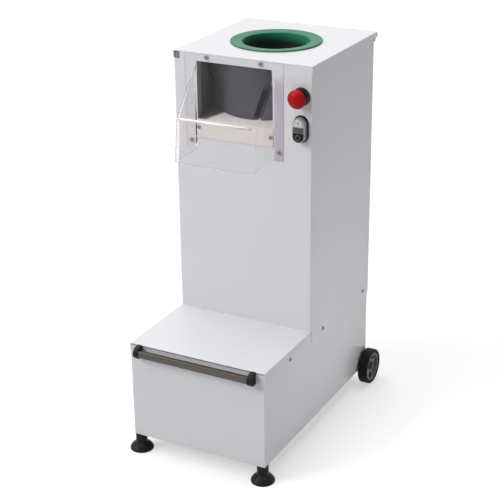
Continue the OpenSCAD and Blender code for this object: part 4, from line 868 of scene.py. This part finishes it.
for node, (piece, body, ease, least) in pushButton.items():
    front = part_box(node)[0].y
    easedPiece(node, piece, body, [{"edges": onFront(front, least), "radius": ease}])

# raised signs on the two buttons
signs = {"ringOut": 5.6, "ringIn": 4.4, "ringUp": 0.6, "ringEase": 0.1, "ringSides": 48, "turn": (90, 0, 0),
         "barW": 1.5, "barH": 6.5, "barUp": 0.5, "barEase": 0.12, "barCorner": 0.5, "rise": 0.25, "sink": 0.3}
ringShoulder = signs["rise"] - signs["ringEase"]
ringSection = [
    (signs["ringIn"], -signs["sink"]), (signs["ringOut"], -signs["sink"]), (signs["ringOut"], ringShoulder),
    (signs["ringOut"] - signs["ringEase"], signs["rise"]),
    (signs["ringIn"] + signs["ringEase"], signs["rise"]),
    (signs["ringIn"], ringShoulder), (signs["ringIn"], -signs["sink"])]
stopLow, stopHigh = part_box("stop_button")
stopMiddle = (stopLow + stopHigh) / 2 / mm
stopRing = place(turned("stopRing", ringSection, signs["ringSides"]),
                 (stopMiddle.x, stopLow.y / mm, stopMiddle.z + signs["ringUp"]), signs["turn"])
seat(stopRing, "stopRing", "stop_key", finishes["mark"])
startLow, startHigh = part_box("start_button")
startMiddle = (startLow + startHigh) / 2
barZ = startMiddle.z + signs["barUp"] * mm
deselect()
bpy.ops.mesh.primitive_cube_add(size=1, location=(startMiddle.x, startLow.y, barZ),
                                scale=(signs["barW"] * mm, 2 * signs["rise"] * mm, signs["barH"] * mm))
startBar = bpy.context.active_object
settle(startBar)
pickEdges(startBar, bothOn(1, startLow.y - signs["rise"] * mm))
bpy.ops.mesh.bevel(offset=signs["barEase"] * mm, segments=2, affect="EDGES")
bpy.ops.object.mode_set(mode="OBJECT")
pickEdges(startBar, lambda a, b: abs(a.y - b.y) > 2 * hair)
bpy.ops.mesh.bevel(offset=signs["barCorner"] * mm, segments=4, affect="EDGES")
bpy.ops.object.mode_set(mode="OBJECT")
smooth(startBar)
seat(startBar, "startBar", "start_key", finishes["mark"])
print("push button built")


# handle: brushed bar between moulded mounts
handle = {"mountEase": 1.4}
barPiece = easedPiece("handle_bar", "handleBar", "cabinet", [])
# upper faces darkened: painted shade against the studio's reflection
paintFaces(barPiece, finishes["barTopShade"], lambda c, n: facesUp(n))
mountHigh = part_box("handle_mounts")[1].x


def onMountEnd(a, b):
    return bothOn(0, mountHigh)(a, b) or bothOn(0, -mountHigh)(a, b)


easedPiece("handle_mounts", "handleMounts", "cabinet",
           [{"edges": onMountEnd, "radius": handle["mountEase"]}], flat=None)
print("handle built")


# levelling feet: rounded pad, stem and stud
foot = {"pad": 26, "padH": 4, "padEase": 0.6, "toe": 1.6, "toeAngles": (-60, 0),
        "domeTop": 20, "domeFrom": 0.8, "neck": ((1.4, 0), (0.5, 0.9), (0, 2.4)),
        "stem": 12.7, "stemTop": 37.7, "stemEase": 0.8,
        "stud": 5, "studEase": 1, "sides": 80, "spots": {"left": -150, "right": 150}, "y": -258}
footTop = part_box("left_foot")[1].z / mm
domeRise = foot["domeTop"] - foot["padH"]
domeR = (foot["pad"] ** 2 + domeRise ** 2) / (2 * domeRise)
domeCentre = foot["domeTop"] - domeR
domeAngles = (math.degrees(math.asin((foot["padH"] + foot["domeFrom"] - domeCentre) / domeR)),
              math.degrees(math.acos((foot["stem"] + foot["neck"][0][0]) / domeR)))
neckZ = domeCentre + domeR * math.sin(math.radians(domeAngles[1]))
footSection = (
    [(foot["pad"] - foot["toe"], 0.0)]
    + bend(foot["pad"] - foot["toe"], foot["toe"], foot["toe"], foot["toeAngles"], steps=3)
    + [(foot["pad"], foot["padH"] - foot["padEase"])]
    + bend(0, domeCentre, domeR, domeAngles, steps=10)
    + [(foot["stem"] + r, neckZ + z) for r, z in foot["neck"][1:]]
    + [(foot["stem"], foot["stemTop"] - foot["stemEase"]), (foot["stem"] - foot["stemEase"], foot["stemTop"])]
    + [(foot["stud"], foot["stemTop"]), (foot["stud"], footTop - foot["studEase"])]
    + [(foot["stud"] - foot["studEase"], footTop), (0, footTop)])
footShape = turned("footShape", footSection, foot["sides"])
for word, x in foot["spots"].items():
    dress(place(twin(footShape), (x, foot["y"], 0)), word + "Foot", word + "_levelling_foot", word + "_foot")
bpy.data.objects.remove(footShape)
print("feet turned")


# wheels: pale rim ring and boss on a dark web
wheel = {"axleY": 249, "axleZ": 42, "ringIn": 28.6, "boss": 11.4, "ease": 0.9, "easedFrom": 20}


def axleDistance(point):
    return math.hypot(point.y / mm - wheel["axleY"], point.z / mm - wheel["axleZ"])


def onRing(outer):
    return lambda a, b: bothOn(0, outer)(a, b) and axleDistance(a) > wheel["easedFrom"]


for word in ("left", "right"):
    node = word + "_wheel_hub"
    low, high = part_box(node)
    outer = high.x if word == "right" else low.x
    hub = easedPiece(node, word + "Hub", word + "_wheel", [{"edges": onRing(outer), "radius": wheel["ease"]}],
                     "webGrey")
    paintFaces(hub, finishes["rimGrey"],
               lambda c, n: axleDistance(c) > wheel["ringIn"] or axleDistance(c) < wheel["boss"])
print("wheels dressed")


# pan head screws with a cross recess, one shape copied to every place
screw = {"headR": 4.5, "headH": 2.6, "edge": 0.2, "rim": 0.55, "domeAngles": (0, 15, 30, 45, 60, 74),
         "shankR": 2.45, "shank": 7, "slotW": 1.25, "slotL": 5.6, "slotDeep": 1.5, "sides": 40}


def domePoint(degrees):
    a = math.radians(degrees)
    return screw["headR"] * math.cos(a), screw["rim"] + (screw["headH"] - screw["rim"]) * math.sin(a)


screwSection = (
    [(screw["shankR"], -screw["shank"]), (screw["shankR"], 0)]
    + [(screw["headR"] - screw["edge"], 0), (screw["headR"], screw["edge"])]
    + [domePoint(degrees) for degrees in screw["domeAngles"]] + [(0, screw["headH"])])
screwShape = turned("screwShape", screwSection, screw["sides"])
cutterSize = (screw["slotL"] * mm, screw["slotW"] * mm, 2 * screw["slotDeep"] * mm)
for turn in (0, 90):
    deselect()
    bpy.ops.mesh.primitive_cube_add(size=1, location=(0, 0, screw["headH"] * mm),
                                    rotation=(0, 0, math.radians(turn)), scale=cutterSize)
    cutter = bpy.context.active_object
    applyModifier(screwShape, "BOOLEAN", operation="DIFFERENCE", object=cutter, solver="EXACT")
    bpy.data.objects.remove(cutter)
smooth(screwShape)


# a screw in the box of its solid, with the shank drawn to its length
def screwCopy(low, high):
    size = (high - low) / mm
    axis = max(range(3), key=lambda i: abs(size[i] - 2 * screw["headR"]))
    middle = (low + high) / 2
    outward = 1 if middle[axis] > 0 else -1
    head = Vector(middle)
    head[axis] = (high if outward > 0 else low)[axis] - outward * screw["headH"] * mm
    copy = twin(screwShape)
    shiftPoints(copy, lambda p: p.z < -hair, (0, 0, screw["shank"] - size[axis] + screw["headH"]))
    turn = {0: (0, 90 * outward, 0), 1: (-90 * outward, 0, 0)}[axis]
    return place(copy, head / mm, turn)


for node, piece in {"outlet_screws": "outletScrews", "panel_screws": "panelScrews"}.items():
    copies = [screwCopy(low, high) for low, high in shellBoxes(node)]
    deselect()
    for copy in copies:
        copy.select_set(True)
    bpy.context.view_layer.objects.active = copies[0]
    bpy.ops.object.join()
    dress(copies[0], piece, "cabinet", node)
    print(piece, "placed:", len(copies))
bpy.data.objects.remove(screwShape)


# floor that reads white and keeps the shadow, and a white studio seen by camera, gloss and glass
studio = {"floor": (0.61, 0.61, 0.615), "floorGlow": (0.53, 0.53, 0.53), "floorSize": 14,
          "ambient": (0.085, 0.085, 0.09), "backdrop": (1, 1, 1), "lampDistance": 3}


# 1 for rays that reach the eye without a diffuse bounce
def seenBy(tree):
    path = tree.nodes.new("ShaderNodeLightPath")
    first = mathNode(tree, "MAXIMUM", path.outputs["Is Camera Ray"], path.outputs["Is Glossy Ray"])
    seen = mathNode(tree, "MAXIMUM", first, path.outputs["Is Transmission Ray"])
    return mathNode(tree, "MULTIPLY", seen, mathNode(tree, "LESS_THAN", path.outputs["Diffuse Depth"], 0.5))


def seenColour(tree, unseen, seen):
    return mixColour(tree, seenBy(tree), unseen, seen)


deselect()
bpy.ops.mesh.primitive_plane_add(size=studio["floorSize"], location=(0, 0, 0))
floor = bpy.context.active_object
floor.name = "floor"
floorFinish = grainFinish("floorCard", {"color": studio["floor"], "rough": 0.8, "grain": 40, "tone": 0.01,
                                        "bump": 0.02, "specular": 0.0})
floorTree = floorFinish.node_tree
floorShader = floorTree.nodes["Principled BSDF"]
floorTree.links.new(seenColour(floorTree, (0, 0, 0), studio["floorGlow"]),
                    floorShader.inputs["Emission Color"])
floorShader.inputs["Emission Strength"].default_value = 1.0
floor.data.materials.append(floorFinish)

world = bpy.data.worlds.new("studio")
bpy.context.scene.world = world
world.use_nodes = True
worldTree = world.node_tree
worldTree.links.new(seenColour(worldTree, studio["ambient"], studio["backdrop"]),
                    worldTree.nodes["Background"].inputs["Color"])

lamps = {  # aim of the light, strength, spread in degrees
    "overhead": ((0.2, -0.12, -1.0), 2.05, 60),
    "key": ((0.6, 0.55, -0.55), 1.15, 26),
}
for name, (lampAim, strength, spread) in lamps.items():
    lampData = bpy.data.lights.new(name, "SUN")
    lampData.energy = strength
    lampData.angle = math.radians(spread)
    lamp = bpy.data.objects.new(name, lampData)
    lamp.rotation_euler = Vector(lampAim).to_track_quat("-Z", "Y").to_euler()
    lamp.location = -Vector(lampAim) * studio["lampDistance"]
    bpy.context.scene.collection.objects.link(lamp)

# soft boxes near the part: one before the column, one low at the right
boxes = {  # place, aim, width and height, power in watts
    "columnBox": ((-450, -1250, 1350), (0.33, 0.88, -0.55), (800, 800), 3.9),
    "lowBox": ((620, 40, 60), (-1, 0, -0.05), (600, 100), 0.6),
}
for name, (spot, boxAim, size, power) in boxes.items():
    boxData = bpy.data.lights.new(name, "AREA")
    boxData.shape = "RECTANGLE"
    boxData.size, boxData.size_y = size[0] * mm, size[1] * mm
    boxData.energy = power
    box = bpy.data.objects.new(name, boxData)
    box.rotation_euler = Vector(boxAim).to_track_quat("-Z", "Z").to_euler()
    box.location = Vector(spot) * mm
    box.visible_camera = False
    box.visible_glossy = False
    bpy.context.scene.collection.objects.link(box)
bpy.context.scene.view_settings.view_transform = "Standard"
print("studio lit")
